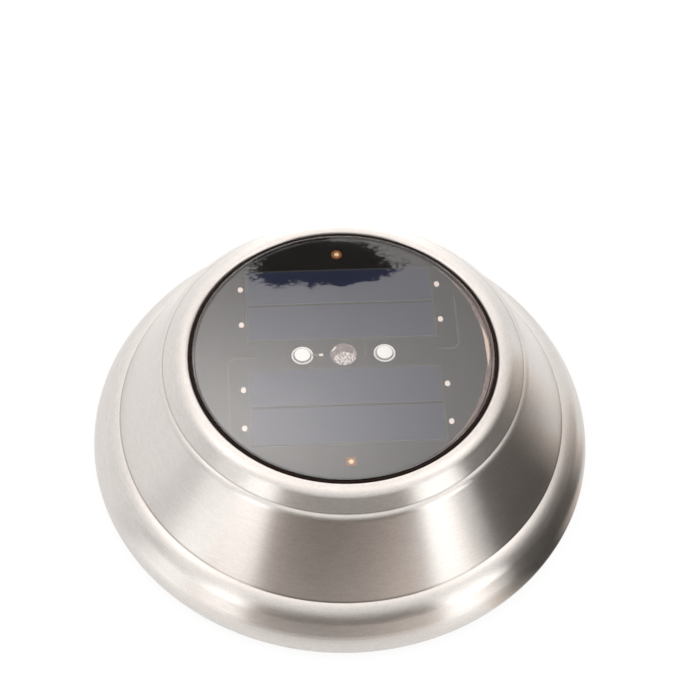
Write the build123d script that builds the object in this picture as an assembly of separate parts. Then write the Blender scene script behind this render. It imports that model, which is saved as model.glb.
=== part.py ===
from build123d import *
import math
import os

"""A low, round solar path light: a spun steel shell over a plastic lamp unit.

Millimetres, +Z up, with the origin at the centre of the face that the light rests on.
"""

# Shell: spun sheet, from the lip round the lens down to the rim it rests on
SHEET = 0.8                  # sheet thickness
LIP_INNER_RADIUS = 43.6      # opening for the lens
LIP_EDGE_DROP = 1.3          # how far the lip's edge turns down
LIP_BEND_INSIDE = 0.2        # inside bend of that edge
LIP_RUN = 3.2                # from the opening out to the collar's top corner
CROWN_ROUND = 4.0            # rounding from the lip into the collar
COLLAR_RUN = 4.3
COLLAR_DROP = 4.2
CREASE_ROUND = 0.35          # the two crisp inward corners
SHOULDER_RUN = 1.3
SHOULDER_DROP = 0.6
SHOULDER_ROUND = 2.6
SLOPE_RUN = 12.3
SLOPE_DROP = 23.2
LEDGE_RUN = 3.45
LEDGE_DROP = 0.73
LEDGE_ROUND = 7.2
BEAD_RUN = 4.95
BEAD_DROP = 8.57
BEAD_ROUND = 11.0
FOOT_HEIGHT = 5.6            # from the bead's lower corner to the rest face
CURL_ROUND = 2.6             # the rim's roll under the light
RIM_FLANGE = 3.0             # flat width of the rim inside the roll

# Lens, gasket and solar panel
RUBBER_FIT = 0.05            # clearance each side of a rubber ring
GASKET_WALL = 0.85           # rubber seen between the lens and the lip
GASKET_SINK = 0.4            # rubber's top edge below the lip's top
GASKET_LEG = 1.0             # rubber clamped between the lip's edge and the lens
LENS_FLANGE_RUN = 2.4        # clamped flange, out past the opening
LENS_FLANGE = 1.2            # its thickness
LENS_WALL = 0.75
LENS_WINDOW = 1.3
LENS_BEVEL = 0.45
BOARD_FIT = 0.2              # clearance round the solar board
BOARD_THICK = 1.6
LENS_AIR = 0.25              # from the cells up to the lens
CELL_THICK = 0.25
CELL_GAP = 0.7               # between the two cells of a pair
CELL_BAND = 5.3              # from the centre line to the nearer cell
CELL_MARGIN = 1.5            # from a cell's corner to the board's edge
JOINT_OFFSET = 1.9           # solder joint's centre past the cell's end
JOINT_RADIUS = 0.78
JOINT_RISE = 0.16
TERMINAL_INSET = 5.5         # terminal's centre from the board's edge
TERMINAL_GAP = 6.0           # terminal's centre from the outer cells
TERMINAL_RADIUS = 1.55       # round pad of the back terminal
TERMINAL_SQUARE = 2.7        # side of the front terminal's square pad
TERMINAL_BORE = 0.78
TERMINAL_NECK = 1.0
TERMINAL_FLANGE = 0.14
NECK_FIT = 0.05

# Lamps and light pipe
LED_SPACING = 23.2
LED_RADIUS = 2.45
LED_HEIGHT = 8.6
LED_PROUD = 0.35             # lamp's top above the solar board
LED_FLANGE_RADIUS = 2.9
LED_FLANGE = 1.0
LED_EDGE_ROUND = 0.3
LED_LEG_SPACING = 2.54
LED_LEG_RADIUS = 0.25
LED_LEG_REACH = 0.9          # legs past the control board
LED_FIT = 0.15               # clearance round a lamp in the deck
BEZEL_FIT = 0.15             # clearance each side of a lamp's ring
BEZEL_WALL = 0.45
BEZEL_SINK = 0.05            # ring's top below the solar board's
PIPE_RADIUS = 3.8
PIPE_EDGE_SINK = 0.3         # the dome's edge below its top
PIPE_FLANGE_RADIUS = 4.7
PIPE_FLANGE = 1.0
PIPE_FIT = 0.1
SENSOR_RADIUS = 2.5
SENSOR_HEIGHT = 2.0
SENSOR_GAP = 0.2             # from the sensor up to the light pipe

# Lamp housing and control board
HOUSING_WALL = 2.0
HOUSING_ROOM = 1.53          # between the door's screw bosses and the wall
DECK_THICK = 2.0
DECK_MARGIN = 0.5            # deck's edge past the lens's flange
WIRE_HOLE_RADIUS = 1.8
POST_GAP = 1.4               # between a lamp's flange and a post
POST_RADIUS = 2.6
POST_SCREW_RADIUS = 1.15
POST_SCREW_DEPTH = 3.4
POST_HEAD_RADIUS = 2.4
POST_HEAD = 1.6
CONTROL_LENGTH = 52.0
CONTROL_WIDTH = 34.0
CONTROL_THICK = 1.2
CONTROL_CORNER = 2.0
SCREW_FIT = 0.05             # radial clearance of a screw in its thread's hole
THROUGH_FIT = 0.25           # radial clearance of a screw passing a plate

# Parts under the control board
CHIP_X = 11.5
CHIP_Y = -6.0
CHIP_LENGTH = 5.0
CHIP_WIDTH = 4.0
CHIP_HEIGHT = 1.5
CHIP_LEG = 0.4
CHIP_LEG_PITCH = 1.27
CHIP_LEG_REACH = 1.0
COIL_X = -11.0
COIL_Y = -5.0
COIL_RADIUS = 3.6
COIL_HEIGHT = 5.0
COIL_CORE_RADIUS = 1.6
COIL_CHEEK = 0.8
COIL_WIRE_DEPTH = 1.4
CAPACITOR_X = 2.0
CAPACITOR_Y = 7.5
CAPACITOR_RADIUS = 2.5
CAPACITOR_HEIGHT = 7.0
CAPACITOR_GROOVE = 0.3

# Base plate, seal and screws
BASE_THICK = 3.4
BASE_FIT = 0.3               # gap between the base plate and the shell's roll
SEAL_THICK = 0.8
SEAL_INSET = 0.3             # seal's edges from the wall's faces
RIM_WALL = 1.6
RIM_HEIGHT = 3.2
RIM_FIT = 0.15
RIB_COUNT = 8
RIB_THICK = 1.6
RIB_HEIGHT = 2.4
HOUSING_SCREW_COUNT = 4
HOUSING_SCREW_INSET = 3.4    # screw's centre from the wall
HOUSING_SCREW_RADIUS = 1.45
HOUSING_SCREW_LENGTH = 13.0
HOUSING_HEAD_RADIUS = 2.75
HOUSING_HEAD = 1.9
HEAD_FIT = 0.35              # radial room for a screw head in its recess
HEAD_SINK = 0.4              # screw head below the underside
PAD_RADIUS = 3.25
PAD_HEIGHT = 4.0
BOSS_RADIUS = 3.8
BOSS_HEIGHT = 12.0

# Stake socket
SOCKET_RADIUS = 8.0
SOCKET_DEPTH = 15.0
SOCKET_WALL = 1.8
SOCKET_LEAD_IN = 0.5

# Battery, its bay and contacts
BATTERY_RADIUS = 7.25
BATTERY_LENGTH = 49.2        # without the nub
BATTERY_NUB = 1.3
BATTERY_NUB_RADIUS = 2.75
BATTERY_EDGE_ROUND = 0.8
BAY_GAP = 0.45               # between the bay's wall and the stake socket's
BATTERY_LIFT = 0.6           # from the base plate's top face to the battery
BATTERY_FIT = 0.5            # each side of the battery
BATTERY_TOP_FIT = 0.25
BAY_WALL = 1.6
CONTACT_THICK = 0.5
CONTACT_WIDTH = 10.0
CONTACT_FIT = 0.1
LEAF_THICK = 0.4
LEAF_WIDTH = 7.0
LEAF_REACH = 5.2             # from the contact plate to the battery
LEAF_HALF_HEIGHT = 5.0
LEAF_ROUND = 0.9
TAB_WIDTH = 3.0
TAB_REACH = 0.8              # above the bay's roof
TAB_FIT = 0.15

# Battery door
DOOR_THICK = 2.0
DOOR_OVERLAP = 2.4           # past the bay's opening on each side
DOOR_FIT = 0.3
DOOR_CORNER = 2.0
DOOR_SEAL = 0.55
SEAL_RELIEF = 0.05           # from the door seal to the base plate
SEAL_MARGIN = 0.5            # from the seal's edges to the door's edge and the opening
DOOR_EAR_RADIUS = 4.0
DOOR_EAR_OFFSET = 4.2        # ear's centre past the door's end
DOOR_SCREW_RADIUS = 1.2
DOOR_SCREW_LENGTH = 9.0
DOOR_SCREW_FIT = 0.08
DOOR_HEAD_RADIUS = 2.3
DOOR_HEAD = 1.1
DOOR_BOSS_WALL = 2.0
DOOR_PAD_LENGTH = 30.0
DOOR_PAD_WIDTH = 7.0
DOOR_PAD_GAP = 0.3           # from the foam up to the battery
GRIP_COUNT = 4
GRIP_LENGTH = 9.0
GRIP_WIDTH = 1.0
GRIP_DEPTH = 0.4
GRIP_PITCH = 2.2

# Switch
SWITCH_Y = -24.0
SWITCH_TRAVEL = 2.5
SWITCH_LENGTH = 14.0
SWITCH_WIDTH = 8.0
SWITCH_HEIGHT = 5.0
SWITCH_FIT = 0.2             # clearance round the knob
KNOB_STEM = 3.0
KNOB_STEM_WIDTH = 2.8
KNOB_HEAD_LENGTH = 6.0
KNOB_HEAD_WIDTH = 4.8
KNOB_HEAD = 1.8
KNOB_SINK = 0.3              # knob's tip above the underside
KNOB_GROOVE = 0.3
SWITCH_DISH_LENGTH = 15.0
SWITCH_DISH_WIDTH = 9.0
SWITCH_DISH_DEPTH = 1.5
SWITCH_EAR_OFFSET = 10.0
SWITCH_EAR_RADIUS = 2.4
SWITCH_EAR = 1.2
SWITCH_SCREW_RADIUS = 0.95
SWITCH_SCREW_DEPTH = 2.2
SWITCH_HEAD_RADIUS = 1.8
SWITCH_HEAD = 1.1
SWITCH_PIN_SPACING = 5.0
SWITCH_PIN_RADIUS = 0.4
SWITCH_PIN_REACH = 2.2

# Leads
LEAD_RADIUS = 0.5
LEAD_PAD_INSET = 1.7         # lead's end from the control board's edges
PANEL_LEAD_DROP = 8.4        # straight run below the solar board
PANEL_LEAD_LIFT = 1.85       # lowest point above the battery bay
PANEL_LEAD_SWING = 6.5       # sideways steps of its two bends
BATTERY_LEAD_RUN = 2.1       # straight run at each end
BATTERY_LEAD_LEAN = 33.0     # degrees off upright at its first bend
SWITCH_LEAD_RUN = 7.5
SWITCH_LEAD_SPREAD = 16.0

# Worked out from the sizes above: shell corners, from the lip to the rest face
slope_foot_z = FOOT_HEIGHT + BEAD_DROP + LEDGE_DROP
shoulder_z = slope_foot_z + SLOPE_DROP
collar_foot_z = shoulder_z + SHOULDER_DROP
lip_top_z = collar_foot_z + COLLAR_DROP
collar_radius = LIP_INNER_RADIUS + LIP_RUN
collar_foot_radius = collar_radius + COLLAR_RUN
shoulder_radius = collar_foot_radius + SHOULDER_RUN
slope_foot_radius = shoulder_radius + SLOPE_RUN
ledge_radius = slope_foot_radius + LEDGE_RUN
widest_radius = ledge_radius + BEAD_RUN
rim_radius = widest_radius - CURL_ROUND - RIM_FLANGE

# Stack under the lip
lip_edge_z = lip_top_z - LIP_EDGE_DROP
lens_flange_z = lip_edge_z - GASKET_LEG
seat_z = lens_flange_z - LENS_FLANGE
board_top_z = seat_z + BOARD_THICK
window_z = board_top_z + CELL_THICK + LENS_AIR
lens_top_z = window_z + LENS_WINDOW
gasket_outer = LIP_INNER_RADIUS - RUBBER_FIT
gasket_inner = gasket_outer - GASKET_WALL
lens_radius = gasket_inner - RUBBER_FIT
pocket_radius = lens_radius - LENS_WALL
board_radius = pocket_radius - BOARD_FIT
flange_radius = LIP_INNER_RADIUS + LENS_FLANGE_RUN
deck_z = seat_z - DECK_THICK
lamp_top_z = board_top_z + LED_PROUD
control_top_z = lamp_top_z - LED_HEIGHT
control_z = control_top_z - CONTROL_THICK
led_hole_radius = LED_RADIUS + BEZEL_FIT + BEZEL_WALL + BEZEL_FIT
led_x = LED_SPACING / 2
post_x = led_x + LED_FLANGE_RADIUS + POST_GAP + POST_RADIUS

# Panel layout
terminal_y = board_radius - TERMINAL_INSET
cell_edge_y = terminal_y - TERMINAL_GAP
cell_width = (cell_edge_y - CELL_BAND - CELL_GAP) / 2
cell_half_length = math.sqrt((board_radius - CELL_MARGIN) ** 2 - cell_edge_y ** 2)

# Base
base_z = SHEET
base_top_z = base_z + BASE_THICK
base_radius = widest_radius - CURL_ROUND - BASE_FIT
housing_z = base_top_z + SEAL_THICK
pad_top_z = base_top_z + PAD_HEIGHT
socket_outer = SOCKET_RADIUS + SOCKET_WALL
socket_top_z = base_z + SOCKET_DEPTH

# Battery bay
battery_z = base_top_z + BATTERY_LIFT + BATTERY_RADIUS
bay_roof_z = battery_z + BATTERY_RADIUS + BATTERY_TOP_FIT
bay_top_z = bay_roof_z + BAY_WALL
battery_whole = BATTERY_LENGTH + BATTERY_NUB
bay_half_length = (battery_whole + LEAF_REACH + 2 * CONTACT_THICK) / 2
bay_half_width = BATTERY_RADIUS + BATTERY_FIT
battery_y = socket_outer + BAY_GAP + BAY_WALL + bay_half_width
battery_right = bay_half_length - CONTACT_THICK
door_half_length = bay_half_length + DOOR_OVERLAP
door_half_width = bay_half_width + DOOR_OVERLAP
door_top_z = base_z + DOOR_THICK
door_recess_z = door_top_z + DOOR_SEAL + SEAL_RELIEF
door_ear_x = door_half_length + DOOR_EAR_OFFSET
door_boss_radius = DOOR_SCREW_RADIUS + DOOR_BOSS_WALL

# Lamp housing, round the bay and the door's bosses
housing_inside = math.hypot(door_ear_x, battery_y) + door_boss_radius + HOUSING_ROOM
housing_radius = housing_inside + HOUSING_WALL
deck_radius = flange_radius + DECK_MARGIN
housing_screw_circle = housing_inside - HOUSING_SCREW_INSET

# Switch
knob_rest_x = -SWITCH_TRAVEL / 2
knob_head_z = base_top_z + SWITCH_FIT
switch_cavity_z = knob_head_z + KNOB_HEAD + SWITCH_FIT
switch_top_z = base_top_z + SWITCH_HEIGHT

# Where the leads meet the control board
lead_pad_x = CONTROL_LENGTH / 2 - LEAD_PAD_INSET
lead_pad_y = CONTROL_WIDTH / 2 - LEAD_PAD_INSET


def block(low, high):
    """A box between two opposite corners."""
    size = [b - a for a, b in zip(low, high)]
    middle = [(a + b) / 2 for a, b in zip(low, high)]
    return Pos(*middle) * Box(*size)


def disc(radius, low_z, high_z, x=0.0, y=0.0):
    """An upright cylinder between two heights."""
    height = high_z - low_z
    return Pos(x, y, (low_z + high_z) / 2) * Cylinder(radius, height)


def ring(outer, inner, low_z, high_z, x=0.0, y=0.0):
    """An upright tube between two heights."""
    return disc(outer, low_z, high_z, x, y) - disc(inner, low_z, high_z, x, y)


def turned(points, rounds=None):
    """A solid turned about Z from a closed outline of (radius, height) corners."""
    corners = [(r, 0, z) for r, z in points]
    edge = FilletPolyline(*corners, radius=rounds or [0.0] * len(corners), close=True)
    return revolve(make_face(edge), Axis.Z)


def turn_between(before, corner, after):
    """The signed angle, in radians, by which a line turns at a corner."""
    first = math.atan2(corner[1] - before[1], corner[0] - before[0])
    second = math.atan2(after[1] - corner[1], after[0] - corner[0])
    return math.remainder(second - first, 2 * math.pi)


def fitted_rounds(points, rounds):
    """The corner rounds, cut down where two of them would not fit on one run."""
    turns = [abs(turn_between(*points[i:i + 3])) for i in range(len(rounds))]
    reach = [r * math.tan(turn / 2) for r, turn in zip(rounds, turns)]
    runs = [math.dist(a, b) for a, b in zip(points, points[1:])]
    share = [1.0] * len(rounds)
    padded = [0.0] + reach + [0.0]
    for i, run in enumerate(runs):
        wanted = padded[i] + padded[i + 1]
        if wanted > 0.97 * run:
            for corner in (i - 1, i):
                if 0 <= corner < len(rounds):
                    share[corner] = min(share[corner], 0.97 * run / wanted)
    return [r * part for r, part in zip(rounds, share)]


def right_of(points, gap):
    """The corners of the parallel line that runs a gap to the right."""
    count = len(points)
    moved = []
    for i, (x, y) in enumerate(points):
        before = points[max(i - 1, 0)]
        after = points[min(i + 1, count - 1)]
        first = math.atan2(y - before[1], x - before[0])
        second = math.atan2(after[1] - y, after[0] - x)
        if i == 0:
            first = second
        if i == count - 1:
            second = first
        half = math.remainder(second - first, 2 * math.pi) / 2
        middle = first + half
        reach = gap / math.cos(half)
        moved.append((x + reach * math.sin(middle), y - reach * math.cos(middle)))
    return moved


def sheet_face(points, rounds, thickness):
    """A bent sheet's section in the XZ plane, thickened to the right of its first face."""
    rounds = fitted_rounds(points, rounds)
    back = right_of(points, thickness)
    back_rounds = []
    for i, outer in enumerate(rounds):
        turn = turn_between(*points[i:i + 3])
        back_rounds.append(outer - thickness if turn < 0 else outer + thickness)
    corners = [(x, 0, z) for x, z in points + back[::-1]]
    radii = [0.0] + rounds + [0.0, 0.0] + back_rounds[::-1] + [0.0]
    return make_face(FilletPolyline(*corners, radius=radii, close=True))


def steel_shell():
    """The spun shell, one even sheet from the turned-down lip to the rolled rim."""
    outline = [
        (LIP_INNER_RADIUS, lip_edge_z),
        (LIP_INNER_RADIUS, lip_top_z),
        (collar_radius, lip_top_z),
        (collar_foot_radius, collar_foot_z),
        (shoulder_radius, shoulder_z),
        (slope_foot_radius, slope_foot_z),
        (ledge_radius, slope_foot_z - LEDGE_DROP),
        (widest_radius, FOOT_HEIGHT),
        (widest_radius, 0),
        (rim_radius, 0),
    ]
    rounds = [
        LIP_BEND_INSIDE + SHEET,
        CROWN_ROUND,
        CREASE_ROUND,
        SHOULDER_ROUND,
        CREASE_ROUND,
        LEDGE_ROUND,
        BEAD_ROUND,
        CURL_ROUND,
    ]
    return revolve(sheet_face(outline, rounds, SHEET), Axis.Z)


def lens_gasket():
    """Rubber ring: a wall beside the lens and a leg under the lip's edge."""
    gasket_top_z = lip_top_z - GASKET_SINK
    outline = [
        (gasket_inner, lens_flange_z),
        (flange_radius, lens_flange_z),
        (flange_radius, lip_edge_z),
        (gasket_outer, lip_edge_z),
        (gasket_outer, gasket_top_z),
        (gasket_inner, gasket_top_z),
    ]
    crown = 0.4 * GASKET_WALL
    return turned(outline, [0.0, 0.0, 0.0, 0.0, crown, crown])


def clear_lens():
    """Clear cover: a window, a wall round the solar board and a clamped flange."""
    outline = [
        (0, window_z),
        (pocket_radius, window_z),
        (pocket_radius, seat_z),
        (flange_radius, seat_z),
        (flange_radius, lens_flange_z),
        (lens_radius, lens_flange_z),
        (lens_radius, lens_top_z - LENS_BEVEL),
        (lens_radius - LENS_BEVEL, lens_top_z),
        (0, lens_top_z),
    ]
    return turned(outline)


def cell_rows():
    """The Y centres of the four cells, back to front."""
    inner = CELL_BAND + cell_width / 2
    outer = inner + cell_width + CELL_GAP
    return [outer, inner, -inner, -outer]


def led_places():
    """The X places of the two lamps."""
    return [-led_x, led_x]


def terminal_places():
    """The Y places of the panel's two terminals."""
    return [terminal_y, -terminal_y]


def solar_board():
    """Round board, holed for the lamps, the light pipe and the terminals."""
    board = disc(board_radius, seat_z, board_top_z)
    for x in led_places():
        board -= disc(led_hole_radius, seat_z, board_top_z, x)
    board -= disc(PIPE_RADIUS + PIPE_FIT, seat_z, board_top_z)
    for y in terminal_places():
        board -= disc(TERMINAL_NECK + NECK_FIT, seat_z, board_top_z, 0, y)
    return board


def solar_cell(y):
    """One strip cell on the solar board."""
    half = cell_width / 2
    low = (-cell_half_length, y - half, board_top_z)
    return block(low, (cell_half_length, y + half, board_top_z + CELL_THICK))


def cell_joints():
    """Solder joints, one past each end of each cell."""
    x = cell_half_length + JOINT_OFFSET
    joints = []
    for y in cell_rows():
        for side in (-x, x):
            dot = disc(JOINT_RADIUS, board_top_z, board_top_z + JOINT_RISE, side, y)
            top = dot.edges().group_by(Axis.Z)[-1]
            joints.append(fillet(top, 0.6 * JOINT_RISE))
    return Compound(joints)


def terminal_eyelets():
    """Copper eyelets through the solar board: a round pad at the back, a square one in front."""
    half = TERMINAL_SQUARE / 2
    rim_top = board_top_z + TERMINAL_FLANGE
    square = block((-half, -terminal_y - half, board_top_z), (half, half - terminal_y, rim_top))
    round_pad = disc(TERMINAL_RADIUS, board_top_z, rim_top, 0, terminal_y)
    eyelets = []
    for y, pad in zip(terminal_places(), (round_pad, square)):
        eyelet = pad + disc(TERMINAL_NECK, seat_z, board_top_z, 0, y)
        eyelets.append(eyelet - disc(TERMINAL_BORE, seat_z, rim_top, 0, y))
    return Compound(eyelets)


def terminal_solder():
    """The solder that fills the eyelets."""
    top = board_top_z + 0.5 * TERMINAL_FLANGE
    plugs = [disc(TERMINAL_BORE, seat_z, top, 0, y) for y in terminal_places()]
    return Compound(plugs)


def led(x):
    """A flat-topped lamp with its flange and two legs through the control board."""
    outline = [
        (0, control_top_z),
        (LED_FLANGE_RADIUS, control_top_z),
        (LED_FLANGE_RADIUS, control_top_z + LED_FLANGE),
        (LED_RADIUS, control_top_z + LED_FLANGE),
        (LED_RADIUS, lamp_top_z),
        (0, lamp_top_z),
    ]
    body = turned(outline, [0.0, 0.0, 0.0, 0.0, LED_EDGE_ROUND, 0.0])
    for side in (-1, 1):
        leg_x = side * LED_LEG_SPACING / 2
        leg_z = control_z - LED_LEG_REACH
        body += disc(LED_LEG_RADIUS, leg_z, control_top_z + LED_FLANGE / 2, leg_x)
    return Pos(x, 0, 0) * body


def led_bezels():
    """White rings on the deck that line the lamps' holes in the solar board."""
    inner = LED_RADIUS + BEZEL_FIT
    top = board_top_z - BEZEL_SINK
    rings = [ring(inner + BEZEL_WALL, inner, seat_z, top, x) for x in led_places()]
    return Compound(rings)


def light_pipe():
    """Clear pipe with a domed top and a flange under the deck."""
    dome_edge_z = lamp_top_z - PIPE_EDGE_SINK
    foot_z = deck_z - PIPE_FLANGE
    stub_z = control_top_z + SENSOR_HEIGHT + SENSOR_GAP
    profile = Polyline(
        (0, 0, stub_z),
        (PIPE_RADIUS, 0, stub_z),
        (PIPE_RADIUS, 0, foot_z),
        (PIPE_FLANGE_RADIUS, 0, foot_z),
        (PIPE_FLANGE_RADIUS, 0, deck_z),
        (PIPE_RADIUS, 0, deck_z),
        (PIPE_RADIUS, 0, dome_edge_z),
    )
    dome = TangentArc((0, 0, lamp_top_z), (PIPE_RADIUS, 0, dome_edge_z), tangent=(1, 0, 0))
    axis_line = Line((0, 0, lamp_top_z), (0, 0, stub_z))
    return revolve(make_face(Curve() + [profile, dome, axis_line]), Axis.Z)


def light_sensor():
    """Dusk sensor under the light pipe."""
    top = control_top_z + SENSOR_HEIGHT
    body = disc(SENSOR_RADIUS, control_top_z, top)
    return chamfer(body.edges().group_by(Axis.Z)[-1], 0.15 * SENSOR_HEIGHT)


def control_board():
    """Control board, holed for its screws and the lamps' legs."""
    half_x = CONTROL_LENGTH / 2
    half_y = CONTROL_WIDTH / 2
    board = block((-half_x, -half_y, control_z), (half_x, half_y, control_top_z))
    board = fillet(board.edges().filter_by(Axis.Z), CONTROL_CORNER)
    for side in (-1, 1):
        hole = POST_SCREW_RADIUS + THROUGH_FIT
        board -= disc(hole, control_z, control_top_z, side * post_x)
        for x in led_places():
            leg_x = x + side * LED_LEG_SPACING / 2
            leg_hole = LED_LEG_RADIUS + SCREW_FIT
            board -= disc(leg_hole, control_z, control_top_z, leg_x)
    return board


def driver_chip():
    """Eight-legged chip under the control board."""
    low_z = control_z - CHIP_LEG / 2 - CHIP_HEIGHT
    half_x = CHIP_LENGTH / 2
    half_y = CHIP_WIDTH / 2
    body = block((-half_x, -half_y, low_z), (half_x, half_y, low_z + CHIP_HEIGHT))
    body = chamfer(body.edges().group_by(Axis.Z)[0], 0.1 * CHIP_HEIGHT)
    leg_top = control_z
    leg_bottom = low_z + 0.5 * CHIP_HEIGHT
    reach = half_y + CHIP_LEG_REACH
    for i in range(4):
        x = (i - 1.5) * CHIP_LEG_PITCH
        low = (x - CHIP_LEG / 2, -reach, leg_bottom)
        high = (x + CHIP_LEG / 2, reach, leg_bottom + CHIP_LEG)
        body += block(low, high)
        for side in (-1, 1):
            edge = side * (reach - CHIP_LEG / 2)
            foot_low = (x - CHIP_LEG / 2, edge - CHIP_LEG / 2, leg_bottom)
            foot_high = (x + CHIP_LEG / 2, edge + CHIP_LEG / 2, leg_top)
            body += block(foot_low, foot_high)
    return Pos(CHIP_X, CHIP_Y, 0) * body


def inductor_core():
    """Drum core with two cheeks."""
    low_z = control_z - COIL_HEIGHT
    outline = [
        (0, low_z),
        (COIL_RADIUS, low_z),
        (COIL_RADIUS, low_z + COIL_CHEEK),
        (COIL_CORE_RADIUS, low_z + COIL_CHEEK),
        (COIL_CORE_RADIUS, control_z - COIL_CHEEK),
        (COIL_RADIUS, control_z - COIL_CHEEK),
        (COIL_RADIUS, control_z),
        (0, control_z),
    ]
    return Pos(COIL_X, COIL_Y, 0) * turned(outline)


def inductor_coil():
    """The winding between the drum's cheeks."""
    low_z = control_z - COIL_HEIGHT + COIL_CHEEK
    outer = COIL_CORE_RADIUS + COIL_WIRE_DEPTH
    return ring(outer, COIL_CORE_RADIUS, low_z, control_z - COIL_CHEEK, COIL_X, COIL_Y)


def capacitor():
    """Round capacitor with the crimped groove near its foot."""
    low_z = control_z - CAPACITOR_HEIGHT
    groove_z = control_z - 0.2 * CAPACITOR_HEIGHT
    waist = CAPACITOR_RADIUS - CAPACITOR_GROOVE
    outline = [
        (0, low_z),
        (CAPACITOR_RADIUS, low_z),
        (CAPACITOR_RADIUS, groove_z - CAPACITOR_GROOVE),
        (waist, groove_z),
        (CAPACITOR_RADIUS, groove_z + CAPACITOR_GROOVE),
        (CAPACITOR_RADIUS, control_z),
        (0, control_z),
    ]
    body = turned(outline, [0.0, CAPACITOR_GROOVE, 0.0, 0.0, 0.0, 0.0, 0.0])
    return Pos(CAPACITOR_X, CAPACITOR_Y, 0) * body


def screw(head_radius, head, shank_radius, length, slot=0.35):
    """A screw standing on its head, with its head's underside at height 0."""
    body = disc(head_radius, -head, 0) + disc(shank_radius, 0, length)
    body = chamfer(body.edges().group_by(Axis.Z)[-1], 0.4 * shank_radius)
    body = fillet(body.edges().group_by(Axis.Z)[0], 0.3 * head)
    arm = 0.62 * head_radius
    half = 0.5 * slot * shank_radius
    depth = 0.5 * head
    body -= block((-arm, -half, -head), (arm, half, depth - head))
    body -= block((-half, -arm, -head), (half, arm, depth - head))
    return body


def control_board_screws():
    """Screws that hang the control board from the deck's posts."""
    length = CONTROL_THICK + POST_SCREW_DEPTH
    one = screw(POST_HEAD_RADIUS, POST_HEAD, POST_SCREW_RADIUS, length)
    return Compound([Pos(side * post_x, 0, control_z) * one for side in (-1, 1)])


def screw_places():
    """The places of the housing screws."""
    step = 2 * math.pi / HOUSING_SCREW_COUNT
    radius = housing_screw_circle
    angles = [i * step for i in range(HOUSING_SCREW_COUNT)]
    return [(radius * math.cos(a), radius * math.sin(a)) for a in angles]


def lamp_housing():
    """Cup with a deck for the lens and the solar board, posts and screw bosses."""
    taper_z = pad_top_z + BOSS_HEIGHT
    cup = turned([
        (housing_inside, housing_z),
        (housing_radius, housing_z),
        (housing_radius, taper_z),
        (deck_radius, deck_z),
        (deck_radius, seat_z),
        (0, seat_z),
        (0, deck_z),
        (deck_radius - HOUSING_WALL, deck_z),
        (housing_inside, taper_z),
    ])
    inside = disc(housing_radius - HOUSING_WALL / 2, housing_z, taper_z)
    for x, y in screw_places():
        boss = disc(BOSS_RADIUS, pad_top_z, taper_z, x, y)
        cup += boss & inside
        hole = HOUSING_SCREW_RADIUS + SCREW_FIT
        tip_z = taper_z - HOUSING_WALL
        cup -= disc(hole, pad_top_z, tip_z, x, y)
    for side in (-1, 1):
        cup += disc(POST_RADIUS, control_top_z, deck_z, side * post_x)
        hole = POST_SCREW_RADIUS + SCREW_FIT
        cup -= disc(hole, control_top_z, control_top_z + POST_SCREW_DEPTH + 0.3, side * post_x)
    for x in led_places():
        cup -= disc(LED_RADIUS + LED_FIT, deck_z, seat_z, x)
    cup -= disc(PIPE_RADIUS + PIPE_FIT, deck_z, seat_z)
    for y in terminal_places():
        cup -= disc(WIRE_HOLE_RADIUS, deck_z, seat_z, 0, y)
    return cup


def housing_seal():
    """Flat ring under the lamp housing's wall."""
    outer = housing_radius - SEAL_INSET
    return ring(outer, housing_inside + SEAL_INSET, base_top_z, housing_z)


def door_plan(extra):
    """The door's outline, grown by an even margin."""
    length = 2 * (door_half_length + extra)
    width = 2 * (door_half_width + extra)
    plan = RectangleRounded(length, width, DOOR_CORNER + extra)
    neck = 2 * (DOOR_EAR_RADIUS + extra)
    plan += Rectangle(2 * door_ear_x, neck)
    for side in (-1, 1):
        plan += Pos(side * door_ear_x, 0) * Circle(DOOR_EAR_RADIUS + extra)
    return plan


def bay_box(low_z, high_z, extra=0.0, side=0.0):
    """The battery bay's inside between two heights, or a box grown from it."""
    low = (-bay_half_length - extra - side, battery_y - bay_half_width - extra, low_z)
    high = (bay_half_length + extra + side, battery_y + bay_half_width + extra, high_z)
    return block(low, high)


def tab_slot(side):
    """The slot in the bay's roof for a contact's tab."""
    wall = side * bay_half_length
    inner = side * (bay_half_length - CONTACT_THICK - TAB_FIT)
    half = TAB_WIDTH / 2 + TAB_FIT
    low = (min(wall, inner), battery_y - half, bay_roof_z)
    high = (max(wall, inner), battery_y + half, bay_top_z)
    return block(low, high)


def base_ribs():
    """Radial ribs between the housing rim and the plate's edge."""
    inner = housing_radius + RIM_FIT + RIM_WALL / 2
    outer = base_radius - RIM_WALL / 2
    half = RIB_THICK / 2
    rib = block((inner, -half, base_top_z), (outer, half, base_top_z + RIB_HEIGHT))
    step = 360 / RIB_COUNT
    return [Rot(0, 0, (i + 0.5) * step) * rib for i in range(RIB_COUNT)]


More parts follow.
